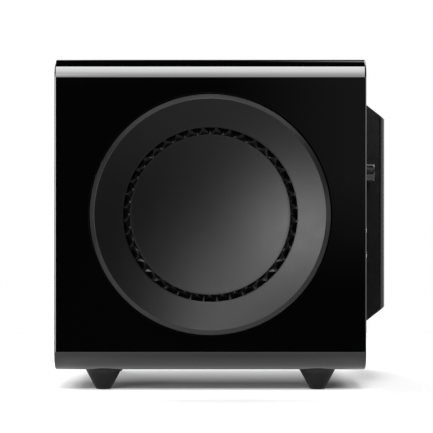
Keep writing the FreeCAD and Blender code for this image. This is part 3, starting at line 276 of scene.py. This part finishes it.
# ---- finishes, by the record's slots -----------------------------------------------
FINISHES = {
    "gloss_lacquer": surface(
        "gloss_black_lacquer", (0.0004, 0.0004, 0.0005), (0.0007, 0.0007, 0.0008), (0.012, 0.03),
        (900, 0.0000006), mottle=9, soft=(38, 0.000004)),
    "raw_board": surface(
        "raw_fibreboard", (0.25, 0.17, 0.095), (0.42, 0.31, 0.19), (0.75, 0.9), (2600, 0.00012),
        mottle=160),
    "fibre_wadding": surface(
        "polyester_wadding", (0.62, 0.61, 0.57), (0.86, 0.85, 0.81), (0.9, 1.0), (900, 0.0012),
        mottle=90, sheen=0.6),
    "foot_rubber": surface(
        "foot_rubber", (0.0015, 0.0015, 0.0015), (0.003, 0.003, 0.003), (0.4, 0.5),
        (2600, 0.00003), mottle=60, specular=0.15, edge=0.2),
    "dark_screw": surface(
        "black_screw_steel", (0.012, 0.012, 0.013), (0.03, 0.03, 0.032), (0.3, 0.46),
        (3000, 0.00001), mottle=300, metallic=0.7, edge=0.5),
    "dish_metal": surface(
        "satin_dark_aluminium", (0.0151, 0.0151, 0.0154), (0.0166, 0.0166, 0.0169), (0.35, 0.38),
        (5200, 0.0000035), mottle=26, metallic=1.0),
    "surround_rubber": surface(
        "pleated_rubber", (0.0004, 0.0004, 0.0004), (0.0009, 0.0009, 0.0009), (0.17, 0.24),
        (3400, 0.000012), mottle=120, specular=0.105),
    "cast_frame": surface(
        "painted_casting", (0.014, 0.014, 0.015), (0.028, 0.028, 0.03), (0.4, 0.55),
        (1400, 0.00006), mottle=60, edge=0.4),
    "cone_paper": surface(
        "pressed_fibre_cone", (0.05, 0.045, 0.038), (0.1, 0.09, 0.075), (0.8, 0.92),
        (1500, 0.00012), mottle=220),
    "former_film": surface(
        "amber_former_film", (0.36, 0.15, 0.035), (0.5, 0.23, 0.06), (0.22, 0.34), (900, 0.00001),
        mottle=80, coat=0.5),
    "spider_cloth": surface(
        "treated_spider_cloth", (0.4, 0.27, 0.09), (0.56, 0.4, 0.16), (0.75, 0.88),
        (2800, 0.00009), mottle=260, sheen=0.2),
    "motor_steel": surface(
        "zinc_plated_steel", (0.3, 0.3, 0.31), (0.46, 0.46, 0.45), (0.26, 0.4), (1700, 0.00001),
        mottle=130, metallic=1.0, edge=0.3),
    "ferrite": surface(
        "ground_ferrite", (0.035, 0.035, 0.037), (0.06, 0.06, 0.063), (0.5, 0.66),
        (2400, 0.00004), mottle=100),
    "gasket_foam": surface(
        "closed_cell_foam", (0.018, 0.018, 0.018), (0.04, 0.04, 0.04), (0.8, 0.95),
        (2200, 0.0002), mottle=300),
    "black_plastic": surface(
        "textured_black_moulding", (0.011, 0.011, 0.012), (0.018, 0.018, 0.019), (0.46, 0.6),
        (4200, 0.000008), mottle=70, edge=0.1),
    "lead_jacket": surface(
        "flexible_lead_jacket", (0.012, 0.012, 0.012), (0.022, 0.022, 0.022), (0.42, 0.55),
        (2000, 0.00002), mottle=150),
    "panel_paint": surface(
        "powder_coated_panel", (0.008, 0.008, 0.0085), (0.013, 0.013, 0.0135), (0.42, 0.55),
        (1900, 0.000045), mottle=40, edge=0.2),
    "heatsink_metal": surface(
        "anodised_heatsink", (0.0012, 0.0012, 0.0013), (0.0021, 0.0021, 0.0022), (0.18, 0.23),
        (3600, 0.000006), mottle=50, specular=0.4),
    "cover_plastic": surface(
        "moulded_amp_cover", (0.02, 0.02, 0.02), (0.035, 0.035, 0.035), (0.5, 0.62),
        (1800, 0.00004), mottle=60),
    "nickel_plate": surface(
        "bright_nickel", (0.62, 0.6, 0.57), (0.72, 0.7, 0.67), (0.08, 0.16), (2200, 0.000002),
        mottle=300, metallic=1.0),
    "control_metal": surface(
        "plated_control_steel", (0.38, 0.38, 0.39), (0.52, 0.52, 0.52), (0.24, 0.36),
        (2600, 0.000006), mottle=200, metallic=1.0),
    "knob_plastic": surface(
        "satin_knob", (0.003, 0.003, 0.003), (0.005, 0.005, 0.005), (0.1, 0.15),
        (3800, 0.000002), mottle=90, edge=0.2),
    "lens_plastic": surface(
        "frosted_light_pipe", (0.55, 0.6, 0.62), (0.72, 0.77, 0.8), (0.25, 0.4), (2600, 0.00001),
        mottle=200, coat=0.4),
    "inlet_plastic": surface(
        "glossy_inlet_moulding", (0.01, 0.01, 0.01), (0.016, 0.016, 0.017), (0.2, 0.3),
        (2600, 0.000003), mottle=110, edge=0.08),
    "copper_winding": winding_material(),
    "circuit_laminate": board_material(),
    "capacitor_sleeve": sleeve_material(
        "capacitor_sleeve", (0.008, 0.012, 0.03), (0.03, 0.045, 0.12), 600, "Y"),
    "transformer_wrap": sleeve_material(
        "transformer_tape", (0.34, 0.25, 0.03), (0.62, 0.5, 0.1), 260, "DIAGONAL"),
    "phono_core": phono_material()}
LIP_BLACK = surface(
    "bevelled_lip", (0.0045, 0.0045, 0.0045), (0.0065, 0.0065, 0.0065), (0.36, 0.42),
    (5200, 0.000002), mottle=40, specular=0.3)
for node_name, node_object in NODES.items():
    dress(node_object, FINISHES[SLOT_OF[node_name]])


# ---- new pieces: helpers ---------------------------------------------------------
def mesh_piece(name, points, faces, material, smooth=True, angle=None):
    """A new mesh object, smooth shaded, with sharp edges above an angle in degrees."""
    mesh = bpy.data.meshes.new(name)
    mesh.from_pydata(points, [], faces)
    mesh.validate()
    mesh.update()
    obj = bpy.data.objects.new(name, mesh)
    bpy.context.scene.collection.objects.link(obj)
    mesh.materials.append(material)
    if smooth:
        mesh.shade_smooth()
    if angle is not None:
        mesh.set_sharp_from_angle(angle=math.radians(angle))
    return obj


def on_driver(side, angle, radius, depth):
    """A point by angle and radius about a driver's axis, and depth outward from the side face.

    radius and depth are in millimetres.
    """
    return (side * (FACE_X + depth * MM), MID_Y + radius * MM * math.cos(angle),
            MID_Z + radius * MM * math.sin(angle))


def steps(a, b, count):
    """Evenly spaced values from a to b, both included."""
    return [a + (b - a) * i / count for i in range(count + 1)]


def lathe(profile, side, count):
    """Points and faces of a closed (radius, depth) profile turned about a driver's axis."""
    points, faces = [], []
    n = len(profile)
    for i in range(count):
        angle = 2 * math.pi * i / count
        points += [on_driver(side, angle, radius, depth) for radius, depth in profile]
        j = (i + 1) % count
        for k in range(n):
            m = (k + 1) % n
            face = (i * n + k, j * n + k, j * n + m, i * n + m)
            faces.append(face if side > 0 else face[::-1])
    return points, faces


def stand_in(obj, node, body):
    """Let a new piece stand for a CAD node, and ride on a body if one is given."""
    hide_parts(node)
    if body:
        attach(obj, body)


# ---- dished rings and discs ------------------------------------------------------
SPHERE, LIP_R, LIP_UP = 398.0, 122.4, 4.0           # dish radius; radius and height of its lip
RING_IN, RING_OUT, RING_T = 92.2, 127.2, 2.4
RING_FOOT = -3.0                                    # depth of the ring's outer wall
RIB_IN, RIB_OUT, RIB_FOOT = 101.0, 105.0, -6.0      # rib under the ring that centres it
DISC_HUB, DISC_R, DISC_T, DISC_RIM = 4.0, 85.0, 1.0, 5.0
DRIVER_SECTORS = 192
SHARP_METAL = 40                                    # degrees


def dish(radius):
    """Depth of the shallow spherical dish that the ring and the disc share, in millimetres."""
    return LIP_UP + math.sqrt(SPHERE ** 2 - LIP_R ** 2) - math.sqrt(SPHERE ** 2 - radius ** 2)


def ring_profile():
    """Closed section of the trim ring with softened edges."""
    top = [(r, dish(r)) for r in steps(RING_IN + 0.35, LIP_R - 0.5, 24)]
    lip = [(LIP_R - 0.2, dish(LIP_R) - 0.06), (LIP_R + 0.1, LIP_UP - 0.12),
           (LIP_R + 0.4, LIP_UP - 0.38)]
    slope = [(RING_OUT - 0.35, 0.32), (RING_OUT - 0.1, 0.08), (RING_OUT, -0.2),
             (RING_OUT, RING_FOOT)]
    under = [(RING_OUT - RING_T, RING_FOOT),
             (RING_OUT - RING_T - 1.0, dish(RING_OUT - 3.4) - 2 * RING_T),
             (RIB_OUT, dish(RIB_OUT) - RING_T), (RIB_OUT, RIB_FOOT),
             (RIB_IN, RIB_FOOT), (RIB_IN, dish(RIB_IN) - RING_T),
             (RING_IN + 0.2, dish(RING_IN) - RING_T), (RING_IN, dish(RING_IN) - RING_T + 0.2)]
    inner = [(RING_IN, dish(RING_IN) - 0.35), (RING_IN + 0.12, dish(RING_IN) - 0.1)]
    return top + lip + slope + under + inner


def disc_mesh(side):
    """Thin dished disc with a turned-down rim and a softened edge."""
    profile = [(r, dish(r)) for r in steps(DISC_HUB, DISC_R - 0.5, 30)]
    profile += [(DISC_R - 0.16, dish(DISC_R) - 0.1), (DISC_R, dish(DISC_R) - 0.4),
                (DISC_R, dish(DISC_R) - DISC_RIM), (DISC_R - DISC_T, dish(DISC_R) - DISC_RIM)]
    profile += [(r, dish(r) - DISC_T) for r in steps(DISC_R - DISC_T, DISC_HUB, 8)]
    points, faces = [], []
    n = len(profile)
    hub = DRIVER_SECTORS * n
    for i in range(DRIVER_SECTORS):
        angle = 2 * math.pi * i / DRIVER_SECTORS
        points += [on_driver(side, angle, radius, depth) for radius, depth in profile]
        j = (i + 1) % DRIVER_SECTORS
        for k in range(n - 1):
            faces.append((i * n + k, j * n + k, j * n + k + 1, i * n + k + 1))
        faces.append((hub, j * n, i * n))
        faces.append((hub + 1, i * n + n - 1, j * n + n - 1))
    points += [on_driver(side, 0.0, 0.0, dish(0)), on_driver(side, 0.0, 0.0, dish(0) - DISC_T)]
    if side < 0:
        faces = [face[::-1] for face in faces]
    return points, faces


for hand, side in HANDS:
    ring = mesh_piece(hand + "_dished_trim_ring", *lathe(ring_profile(), side, DRIVER_SECTORS),
                      FINISHES["dish_metal"], angle=SHARP_METAL)
    ring.data.materials.append(LIP_BLACK)
    for polygon in ring.data.polygons:
        r = math.hypot(polygon.center.y - MID_Y, polygon.center.z - MID_Z) / MM
        if r > LIP_R + 0.2:
            polygon.material_index = 1
    stand_in(ring, hand + "_trim_ring", "root")
    disc = mesh_piece(hand + "_dished_disc", *disc_mesh(side), FINISHES["dish_metal"],
                      angle=SHARP_METAL)
    stand_in(disc, hand + "_diaphragm", hand + "_diaphragm_assembly")


# ---- pleated surrounds and corrugated spiders --------------------------------------
PLEATS = 40
FOLD_IN, FOLD_OUT = 85.15, 92.45
FOLD_CREST, FOLD_VALLEY = -6.9, -10.3
FOLD_CELLS = 8                                      # cells across the pleats
RIDGE_ROUNDING, NODE_ROUNDING, NODE_REACH = 0.004, 0.05, 0.2
SKIN = 0.7
HEM = -10.85                                        # depth of the hem on the disc
FLANGE_OUT, FLANGE_TOP, FLANGE_FOOT = 99.2, -12.7, -13.95
SURROUND_PIVOT = 0.15                               # X where the bend is measured, in metres
SPIDER_IN, SPIDER_OUT, SPIDER_WAVES, SPIDER_STEPS = 32.0, 68.5, 6, 72
SPIDER_Z, SPIDER_SWING, SPIDER_CLOTH = -41.3, 0.75, 0.6
SPIDER_RIM = [(70.0, -41.2), (73.4, -41.2), (73.4, -41.95), (70.0, -41.95)]
SPIDER_SECTORS = 144
SPIDER_PIVOT = 0.12
SHARP_FOLD, SHARP_CLOTH = 50, 70                    # degrees


def fold_height(u, phase):
    """Height of the pleated skin: u runs 0..1 outward, phase runs 0..1 along one pleat.

    The ridges run as a zigzag between nodes at the two rims, and are rounder near the nodes.
    """
    span = abs(((phase + 0.5) % 1.0) - 0.5)
    away = abs(span - 0.5 * u)
    near_node = max(0.0, 1.0 - min(u, 1.0 - u) / NODE_REACH)
    rounding = RIDGE_ROUNDING + NODE_ROUNDING * near_node
    away = math.sqrt(away * away + rounding * rounding) - rounding
    return FOLD_CREST - (FOLD_CREST - FOLD_VALLEY) * min(1.0, away / 0.5)


def surround_section(phase):
    """Closed section of the surround at one place along a pleat, from the skin's inner rim."""
    width = FOLD_OUT - FOLD_IN
    across = steps(0.0, 1.0, FOLD_CELLS)
    section = [(FOLD_IN + width * u, fold_height(u, phase)) for u in across]
    section += [(FOLD_OUT + 0.3, min(fold_height(1.0, phase), -9.0) - 0.6),
                (FOLD_OUT + 0.35, -12.4), (FOLD_OUT + 1.2, -12.6), (FLANGE_OUT, FLANGE_TOP),
                (FLANGE_OUT, FLANGE_FOOT), (FOLD_OUT - 0.5, FLANGE_FOOT)]
    section += [(FOLD_IN + width * u, fold_height(u, phase) - SKIN)
                for u in reversed(across[1:-1])]
    return section + [(FOLD_IN + 0.75, HEM), (FOLD_IN, HEM)]


def surround_mesh(side):
    """Closed pleated rubber skin with the flange that sits on the frame's shelf."""
    per_pleat = 2 * FOLD_CELLS
    along = PLEATS * per_pleat
    points, faces = [], []
    for i in range(along):
        angle = 2 * math.pi * i / along
        section = surround_section((i / per_pleat) % 1.0)
        points += [on_driver(side, angle, radius, depth) for radius, depth in section]
        n = len(section)
        j = (i + 1) % along
        rising = i % per_pleat < FOLD_CELLS
        for k in range(n):
            m = (k + 1) % n
            here, there, there_out, here_out = i * n + k, j * n + k, j * n + m, i * n + m
            if k >= FOLD_CELLS:
                cell = ((here, there, there_out, here_out),)
            elif rising:
                # a cell of the skin is split along the ridge that crosses it
                cell = ((here, there, there_out), (here, there_out, here_out))
            else:
                cell = ((here, there, here_out), (there, there_out, here_out))
            faces += [face if side > 0 else face[::-1] for face in cell]
    return points, faces


def spider_mesh(side):
    """Corrugated cloth ring between the coil former and the frame's ledge."""
    waves = []
    for r in steps(SPIDER_IN, SPIDER_OUT, SPIDER_STEPS):
        swing = math.sin(2 * math.pi * SPIDER_WAVES * (r - SPIDER_IN) / (SPIDER_OUT - SPIDER_IN))
        fade = min(1.0, (r - SPIDER_IN) / 2.0, (SPIDER_OUT - r) / 2.0)
        waves.append((r, SPIDER_Z + SPIDER_SWING + SPIDER_SWING * swing * fade))
    under = [(r, depth - SPIDER_CLOTH) for r, depth in reversed(waves)]
    return lathe(waves + SPIDER_RIM + under, side, SPIDER_SECTORS)


def blend_radially(obj, moving, r_in, r_out, reach):
    """Let a ring bend between the cabinet and its diaphragm, by distance from the driver's axis."""
    side = 1.0 if moving.startswith("right") else -1.0
    middle = Vector((side * reach, MID_Y, MID_Z))
    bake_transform(obj, moving, "root", start=middle, end=middle + Vector((0.0, 0.1, 0.0)))
    weights = obj.data.attributes["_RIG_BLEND"]
    for vertex, weight in zip(obj.data.vertices, weights.data):
        r = math.hypot(vertex.co.y - MID_Y, vertex.co.z - MID_Z) / MM
        t = min(1.0, max(0.0, (r - r_in) / (r_out - r_in)))
        weight.value = t * t * (3 - 2 * t)


for hand, side in HANDS:
    moving = hand + "_diaphragm_assembly"
    piece = mesh_piece(hand + "_pleated_surround", *surround_mesh(side),
                       FINISHES["surround_rubber"], angle=SHARP_FOLD)
    stand_in(piece, hand + "_surround", None)
    blend_radially(piece, moving, FOLD_IN + 0.7, FOLD_OUT + 0.2, SURROUND_PIVOT)
    piece = mesh_piece(hand + "_corrugated_spider", *spider_mesh(side),
                       FINISHES["spider_cloth"], angle=SHARP_CLOTH)
    stand_in(piece, hand + "_spider", None)
    blend_radially(piece, moving, SPIDER_IN + 1.0, SPIDER_OUT - 0.5, SPIDER_PIVOT)


# ---- damping pads ----------------------------------------------------------------
WELD = 0.00001
PAD_CELLS = (22, 38, 5)
PAD_SCALE = 0.975
PAD_PINCH, PAD_CORNER = 0.35, 0.05                  # thinning at the edges, drawing in of corners
PAD_LUMPS = ((55.0, 0.0012), (210.0, 0.0006))       # scale per metre, height in metres
PAD_SINK = 0.0012


def islands(mesh):
    """The points of each part of a mesh that hangs together."""
    bm = bmesh.new()
    bm.from_mesh(mesh)
    bmesh.ops.remove_doubles(bm, verts=bm.verts, dist=WELD)
    groups, seen = [], set()
    for vert in bm.verts:
        stack, group = [vert], []
        while stack:
            v = stack.pop()
            if v in seen:
                continue
            seen.add(v)
            group.append(v.co.copy())
            stack += [e.other_vert(v) for e in v.link_edges]
        if group:
            groups.append(group)
    bm.free()
    return groups


def pad_mesh(group, base):
    """Crowned, slightly lumpy pad in the box of a group of points; its points count from base."""
    low = Vector([min(c[k] for c in group) for k in range(3)])
    high = Vector([max(c[k] for c in group) for k in range(3)])
    middle, half = (low + high) / 2, (high - low) / 2
    nx, ny, nz = PAD_CELLS
    points, faces, index = [], [], {}
    for i in range(nx + 1):
        for j in range(ny + 1):
            for k in range(nz + 1):
                if 0 < i < nx and 0 < j < ny and 0 < k < nz:
                    continue
                u = Vector((2 * i / nx - 1, 2 * j / ny - 1, 2 * k / nz - 1))
                pinch = 1 - PAD_PINCH * max(abs(u.x), abs(u.y)) ** 6
                corner = 1 - PAD_CORNER * (u.x * u.y) ** 4
                co = Vector((u.x * half.x * corner, u.y * half.y * corner, u.z * half.z * pinch))
                lump = sum(noise.noise((middle + co) * scale) * height
                           for scale, height in PAD_LUMPS)
                co *= PAD_SCALE
                co += u.normalized() * (lump - PAD_SINK)
                index[(i, j, k)] = base + len(index)
                points.append(middle + co)
    for axis, (na, nb, nc) in enumerate(((ny, nz, nx), (nz, nx, ny), (nx, ny, nz))):
        for a in range(na):
            for b in range(nb):
                for c in (0, nc):
                    quad = []
                    for da, db in ((0, 0), (1, 0), (1, 1), (0, 1)):
                        key = [0, 0, 0]
                        key[(axis + 1) % 3] = a + da
                        key[(axis + 2) % 3] = b + db
                        key[axis] = c
                        quad.append(index[tuple(key)])
                    faces.append(tuple(quad) if c else tuple(reversed(quad)))
    return points, faces


points, faces = [], []
for group in islands(NODES["wadding_pads"].data):
    pad_points, pad_faces = pad_mesh(group, len(points))
    points += pad_points
    faces += pad_faces
piece = mesh_piece("damping_wadding", points, faces, FINISHES["fibre_wadding"])
stand_in(piece, "wadding_pads", "root")


# ---- stage -------------------------------------------------------------------------
FLOOR_MIDDLE, FLOOR_REACH = (-0.16, 0.0, -0.0005), 0.72
FLOOR_RINGS, FLOOR_SECTORS = 6, 96
# painted light: the floor itself glows under the cabinet, lightening its shadow there, and just in front of
# it, where the cabinet's lower edge reflects it: low, high and where, along X
FAR_PAINTED_GLOW = ((0.0, 0.52, 0.0465, -0.13), (1.0, 0.0, -0.15, -0.3))
NEAR_PAINTED_GLOW = ((0.0, 0.78, 0.1, 0.136), (1.0, 0.0, 0.165, 0.24))
PAINTED_GLOW_INNER, PAINTED_GLOW_OUTER = 0.15, 0.19                 # its fade across Y


def floor_mesh():
    """Round flat sheet."""
    centre = Vector(FLOOR_MIDDLE)
    points, faces = [tuple(centre)], []
    for i in range(1, FLOOR_RINGS + 1):
        r = FLOOR_REACH * i / FLOOR_RINGS
        for j in range(FLOOR_SECTORS):
            angle = 2 * math.pi * j / FLOOR_SECTORS
            points.append((centre.x + r * math.cos(angle), centre.y + r * math.sin(angle),
                           centre.z))
    for j in range(FLOOR_SECTORS):
        after = (j + 1) % FLOOR_SECTORS
        faces.append((0, 1 + j, 1 + after))
        for i in range(FLOOR_RINGS - 1):
            a, b = 1 + i * FLOOR_SECTORS + j, 1 + i * FLOOR_SECTORS + after
            faces.append((a, a + FLOOR_SECTORS, b + FLOOR_SECTORS, b))
    return points, faces


def floor():
    """Pale sheet under the object, with painted light: it glows under the cabinet and just in front of it.
    """
    mat, tree, shader = new_material("pale_floor")
    cloud = texture(tree, "Noise", 6.0, 3.0)
    colour = tint(tree, cloud.outputs["Fac"], (0.6, 0.6, 0.6), (0.63, 0.63, 0.63))
    link(tree, colour, shader.inputs["Base Color"])
    link(tree, spread(tree, cloud.outputs["Fac"], 0.75, 0.85), shader.inputs["Roughness"])
    shader.inputs["Specular IOR Level"].default_value = 0.1
    x, y, _ = axes(tree, "Object")
    # painted light: emission on the floor under the cabinet and in front of it, though the floor is no lamp
    side_a = spread(tree, y, 0.0, 1.0, MID_Y - PAINTED_GLOW_OUTER, MID_Y - PAINTED_GLOW_INNER)
    side_b = spread(tree, y, 1.0, 0.0, MID_Y + PAINTED_GLOW_INNER, MID_Y + PAINTED_GLOW_OUTER)
    far, near = (product(tree, spread(tree, x, *rise), spread(tree, x, *fall), side_a, side_b)
                 for rise, fall in (FAR_PAINTED_GLOW, NEAR_PAINTED_GLOW))
    shader.inputs["Emission Color"].default_value = (1, 1, 1, 1)
    link(tree, maths(tree, "ADD", far, near), shader.inputs["Emission Strength"])
    mesh_piece("pale_floor", *floor_mesh(), mat, smooth=False)


# ---- light ---------------------------------------------------------------------------
# Directions run from the object. x, y and z are their parts, across is |y|, and roll is the angle
# in the X-Z plane from +X upward. A pair says where a light starts and where it is full.
KEY_FOOT, KEY_TOP, KEY_WIDTH = (4.0, 17.0), (75.0, 73.4), (0.118, 0.096)
KEY_LOWER, KEY_UPPER = (16.0, 44.0, 6.6, 15.5), (44.0, 74.0, 0.0, 2.5)
SIDE_GLOW = ((0.9, 0.95), (-0.01, 0.09), (-0.045, 0.03), 0.17)
BOUNCE_OUT, BOUNCE_TOP, BOUNCE_FOOT, BOUNCE_POWER = (0.6, 0.75), (-0.22, -0.36), (-0.8, -0.65), 1.0
STRIP_TOP, STRIP_FOOT, STRIP_SHADE = (0.17, 0.1), (-0.22, -0.1), (-0.1, 0.08, 0.5, 1.2)
# upright strips: azimuth, inner and outer radius in degrees, and power
STRIPS = ((-62, 6, 18, 2.6), (92, 10, 38, 2.2), (-118, 6, 18, 2.6))
CARD_TOP, CARD_FOOT, CARD_POWER, CARD_EDGE = (0.15, 0.03), (-0.55, -0.4), 2.8, 7
CARDS = ((41, 62), (139, 118))
# round sources: azimuth, elevation, inner and outer radius in degrees, and power
DISH_LIGHTS = (((-28, 7, 4, 21, 22.0), (-16, 20, 3, 13, 9.0)),
               ((-152, 7, 4, 21, 13.2), (-164, 20, 3, 13, 5.4)))
DISH_CUT = (0.27, 0.17)
HIGH_BOXES = ((140, 46, 12, 26, 5.0), (-128, 46, 12, 26, 7.5), (90, 58, 10, 24, 2.5),
              (-90, 58, 10, 24, 2.0))
BACKDROP_TOP, BACKDROP_FOOT, BACKDROP_WIDTH = (179.0, 176.0), (162.0, 170.0), (0.5, 0.3)
BACKDROP_POWER = 1.0
FRONT_CARD = (-90, 10, 2, 25, 0.7)


def studio():
    """Large soft sources at infinity, drawn by direction, and a white surround for the eye."""
    world = bpy.data.worlds.new("studio")
    bpy.context.scene.world = world
    world.use_nodes = True
    tree = world.node_tree
    tree.nodes.clear()
    out = tree.nodes.new("ShaderNodeOutputWorld")
    place = tree.nodes.new("ShaderNodeTexCoord")
    x, y, z = axes(tree, "Generated")

    def ramp(value, a, b, low=0.0, high=1.0, smooth=True):
        """Map a value from a..b to low..high, eased unless smooth is off."""
        node = tree.nodes.new("ShaderNodeMapRange")
        node.interpolation_type = "SMOOTHSTEP" if smooth else "LINEAR"
        for key, number in (("From Min", a), ("From Max", b), ("To Min", low), ("To Max", high)):
            node.inputs[key].default_value = number
        link(tree, value, node.inputs["Value"])
        return node.outputs["Result"]

    def spot(azimuth, elevation, inner, outer, power):
        """Round soft source: azimuth from +X towards +Y, angles in degrees."""
        az, el = math.radians(azimuth), math.radians(elevation)
        direction = (math.cos(el) * math.cos(az), math.cos(el) * math.sin(az), math.sin(el))
        node = tree.nodes.new("ShaderNodeVectorMath")
        node.operation = "DOT_PRODUCT"
        link(tree, place.outputs["Generated"], node.inputs[0])
        node.inputs[1].default_value = direction
        outer_cos, inner_cos = math.cos(math.radians(outer)), math.cos(math.radians(inner))
        return product(tree, ramp(node.outputs["Value"], outer_cos, inner_cos), power)

    roll = product(tree, maths(tree, "ARCTAN2", z, x), 180 / math.pi)
    bearing = product(tree, maths(tree, "ARCTAN2", y, x), 180 / math.pi)
    across = maths(tree, "ABSOLUTE", y)

    # long box over the viewing side, brighter towards its top
    level = maths(tree, "ADD", ramp(roll, *KEY_LOWER, smooth=False),
                  ramp(roll, *KEY_UPPER, smooth=False))
    lights = [product(tree, level, ramp(roll, *KEY_FOOT), ramp(roll, *KEY_TOP),
                      ramp(across, *KEY_WIDTH))]
    # faint glow beside the camera, in the side's rear half
    glow_x, glow_y, glow_z, glow_power = SIDE_GLOW
    lights.append(product(tree, ramp(x, *glow_x), ramp(y, *glow_y), ramp(z, *glow_z), glow_power))
    # pale bounce from the sheet in front of either side, below the horizon
    for end in (1.0, -1.0):
        lights.append(product(tree, ramp(product(tree, x, end), *BOUNCE_OUT),
                              ramp(z, *BOUNCE_TOP), ramp(z, *BOUNCE_FOOT), BOUNCE_POWER))
    # dish highlight, from the front of the viewing side; and its twin for the other side
    for main, upper in DISH_LIGHTS:
        lights.append(product(tree, spot(*main), ramp(z, *DISH_CUT)))
        lights.append(spot(*upper))
    # upright strips towards the front and the rear
    low = product(tree, ramp(z, *STRIP_TOP), ramp(z, *STRIP_FOOT), ramp(z, *STRIP_SHADE))
    for azimuth, inner, outer, power in STRIPS:
        lights.append(product(tree, low, spot(azimuth, 0, inner, outer, power)))
    # cards in front of the sides, for the sheen of the dishes seen at an angle
    tall = product(tree, ramp(z, *CARD_TOP), ramp(z, *CARD_FOOT), CARD_POWER)
    for start, end in CARDS:
        step = CARD_EDGE if end > start else -CARD_EDGE
        lights.append(product(tree, tall, ramp(bearing, start, start + step),
                              ramp(bearing, end, end - step)))
    # diagonal boxes behind, then boxes high to the front and to the rear
    lights += [spot(*box) for box in HIGH_BOXES]
    # low bright backdrop on the far side
    lights.append(product(tree, ramp(roll, *BACKDROP_TOP), ramp(roll, *BACKDROP_FOOT),
                          ramp(across, *BACKDROP_WIDTH), BACKDROP_POWER))
    # dim card facing the front panel
    lights.append(spot(*FRONT_CARD))
    total = lights[0]
    for light in lights[1:]:
        total = maths(tree, "ADD", total, light)

    lit = tree.nodes.new("ShaderNodeBackground")
    link(tree, total, lit.inputs["Strength"])
    seen = tree.nodes.new("ShaderNodeBackground")
    seen.inputs["Strength"].default_value = 1.0
    for background in (lit, seen):
        background.inputs["Color"].default_value = (1, 1, 1, 1)
    path = tree.nodes.new("ShaderNodeLightPath")
    mix = tree.nodes.new("ShaderNodeMixShader")
    link(tree, path.outputs["Is Camera Ray"], mix.inputs["Fac"])
    link(tree, lit.outputs["Background"], mix.inputs[1])
    link(tree, seen.outputs["Background"], mix.inputs[2])
    link(tree, mix.outputs["Shader"], out.inputs["Surface"])


# ---- camera --------------------------------------------------------------------------
SENSOR, LENS = 36.0, 152.76
CAMERA_X = 2.1
CAMERA_REAR, CAMERA_DROP = 0.0066, 0.00205          # offsets from the cabinet's middle


def camera():
    """Long lens square to the right side, at the height of the driver."""
    data = bpy.data.cameras.new("camera")
    data.sensor_width = SENSOR
    data.lens = LENS
    obj = bpy.data.objects.new("camera", data)
    bpy.context.scene.collection.objects.link(obj)
    obj.location = (CAMERA_X, MID_Y + CAMERA_REAR, MID_Z - CAMERA_DROP)
    obj.rotation_euler = (math.pi / 2, 0.0, math.pi / 2)
    bpy.context.scene.camera = obj


floor()
studio()
camera()
view = bpy.context.scene.view_settings
view.view_transform = "Standard"
view.look = "None"
view.exposure = 0.0
view.gamma = 1.0
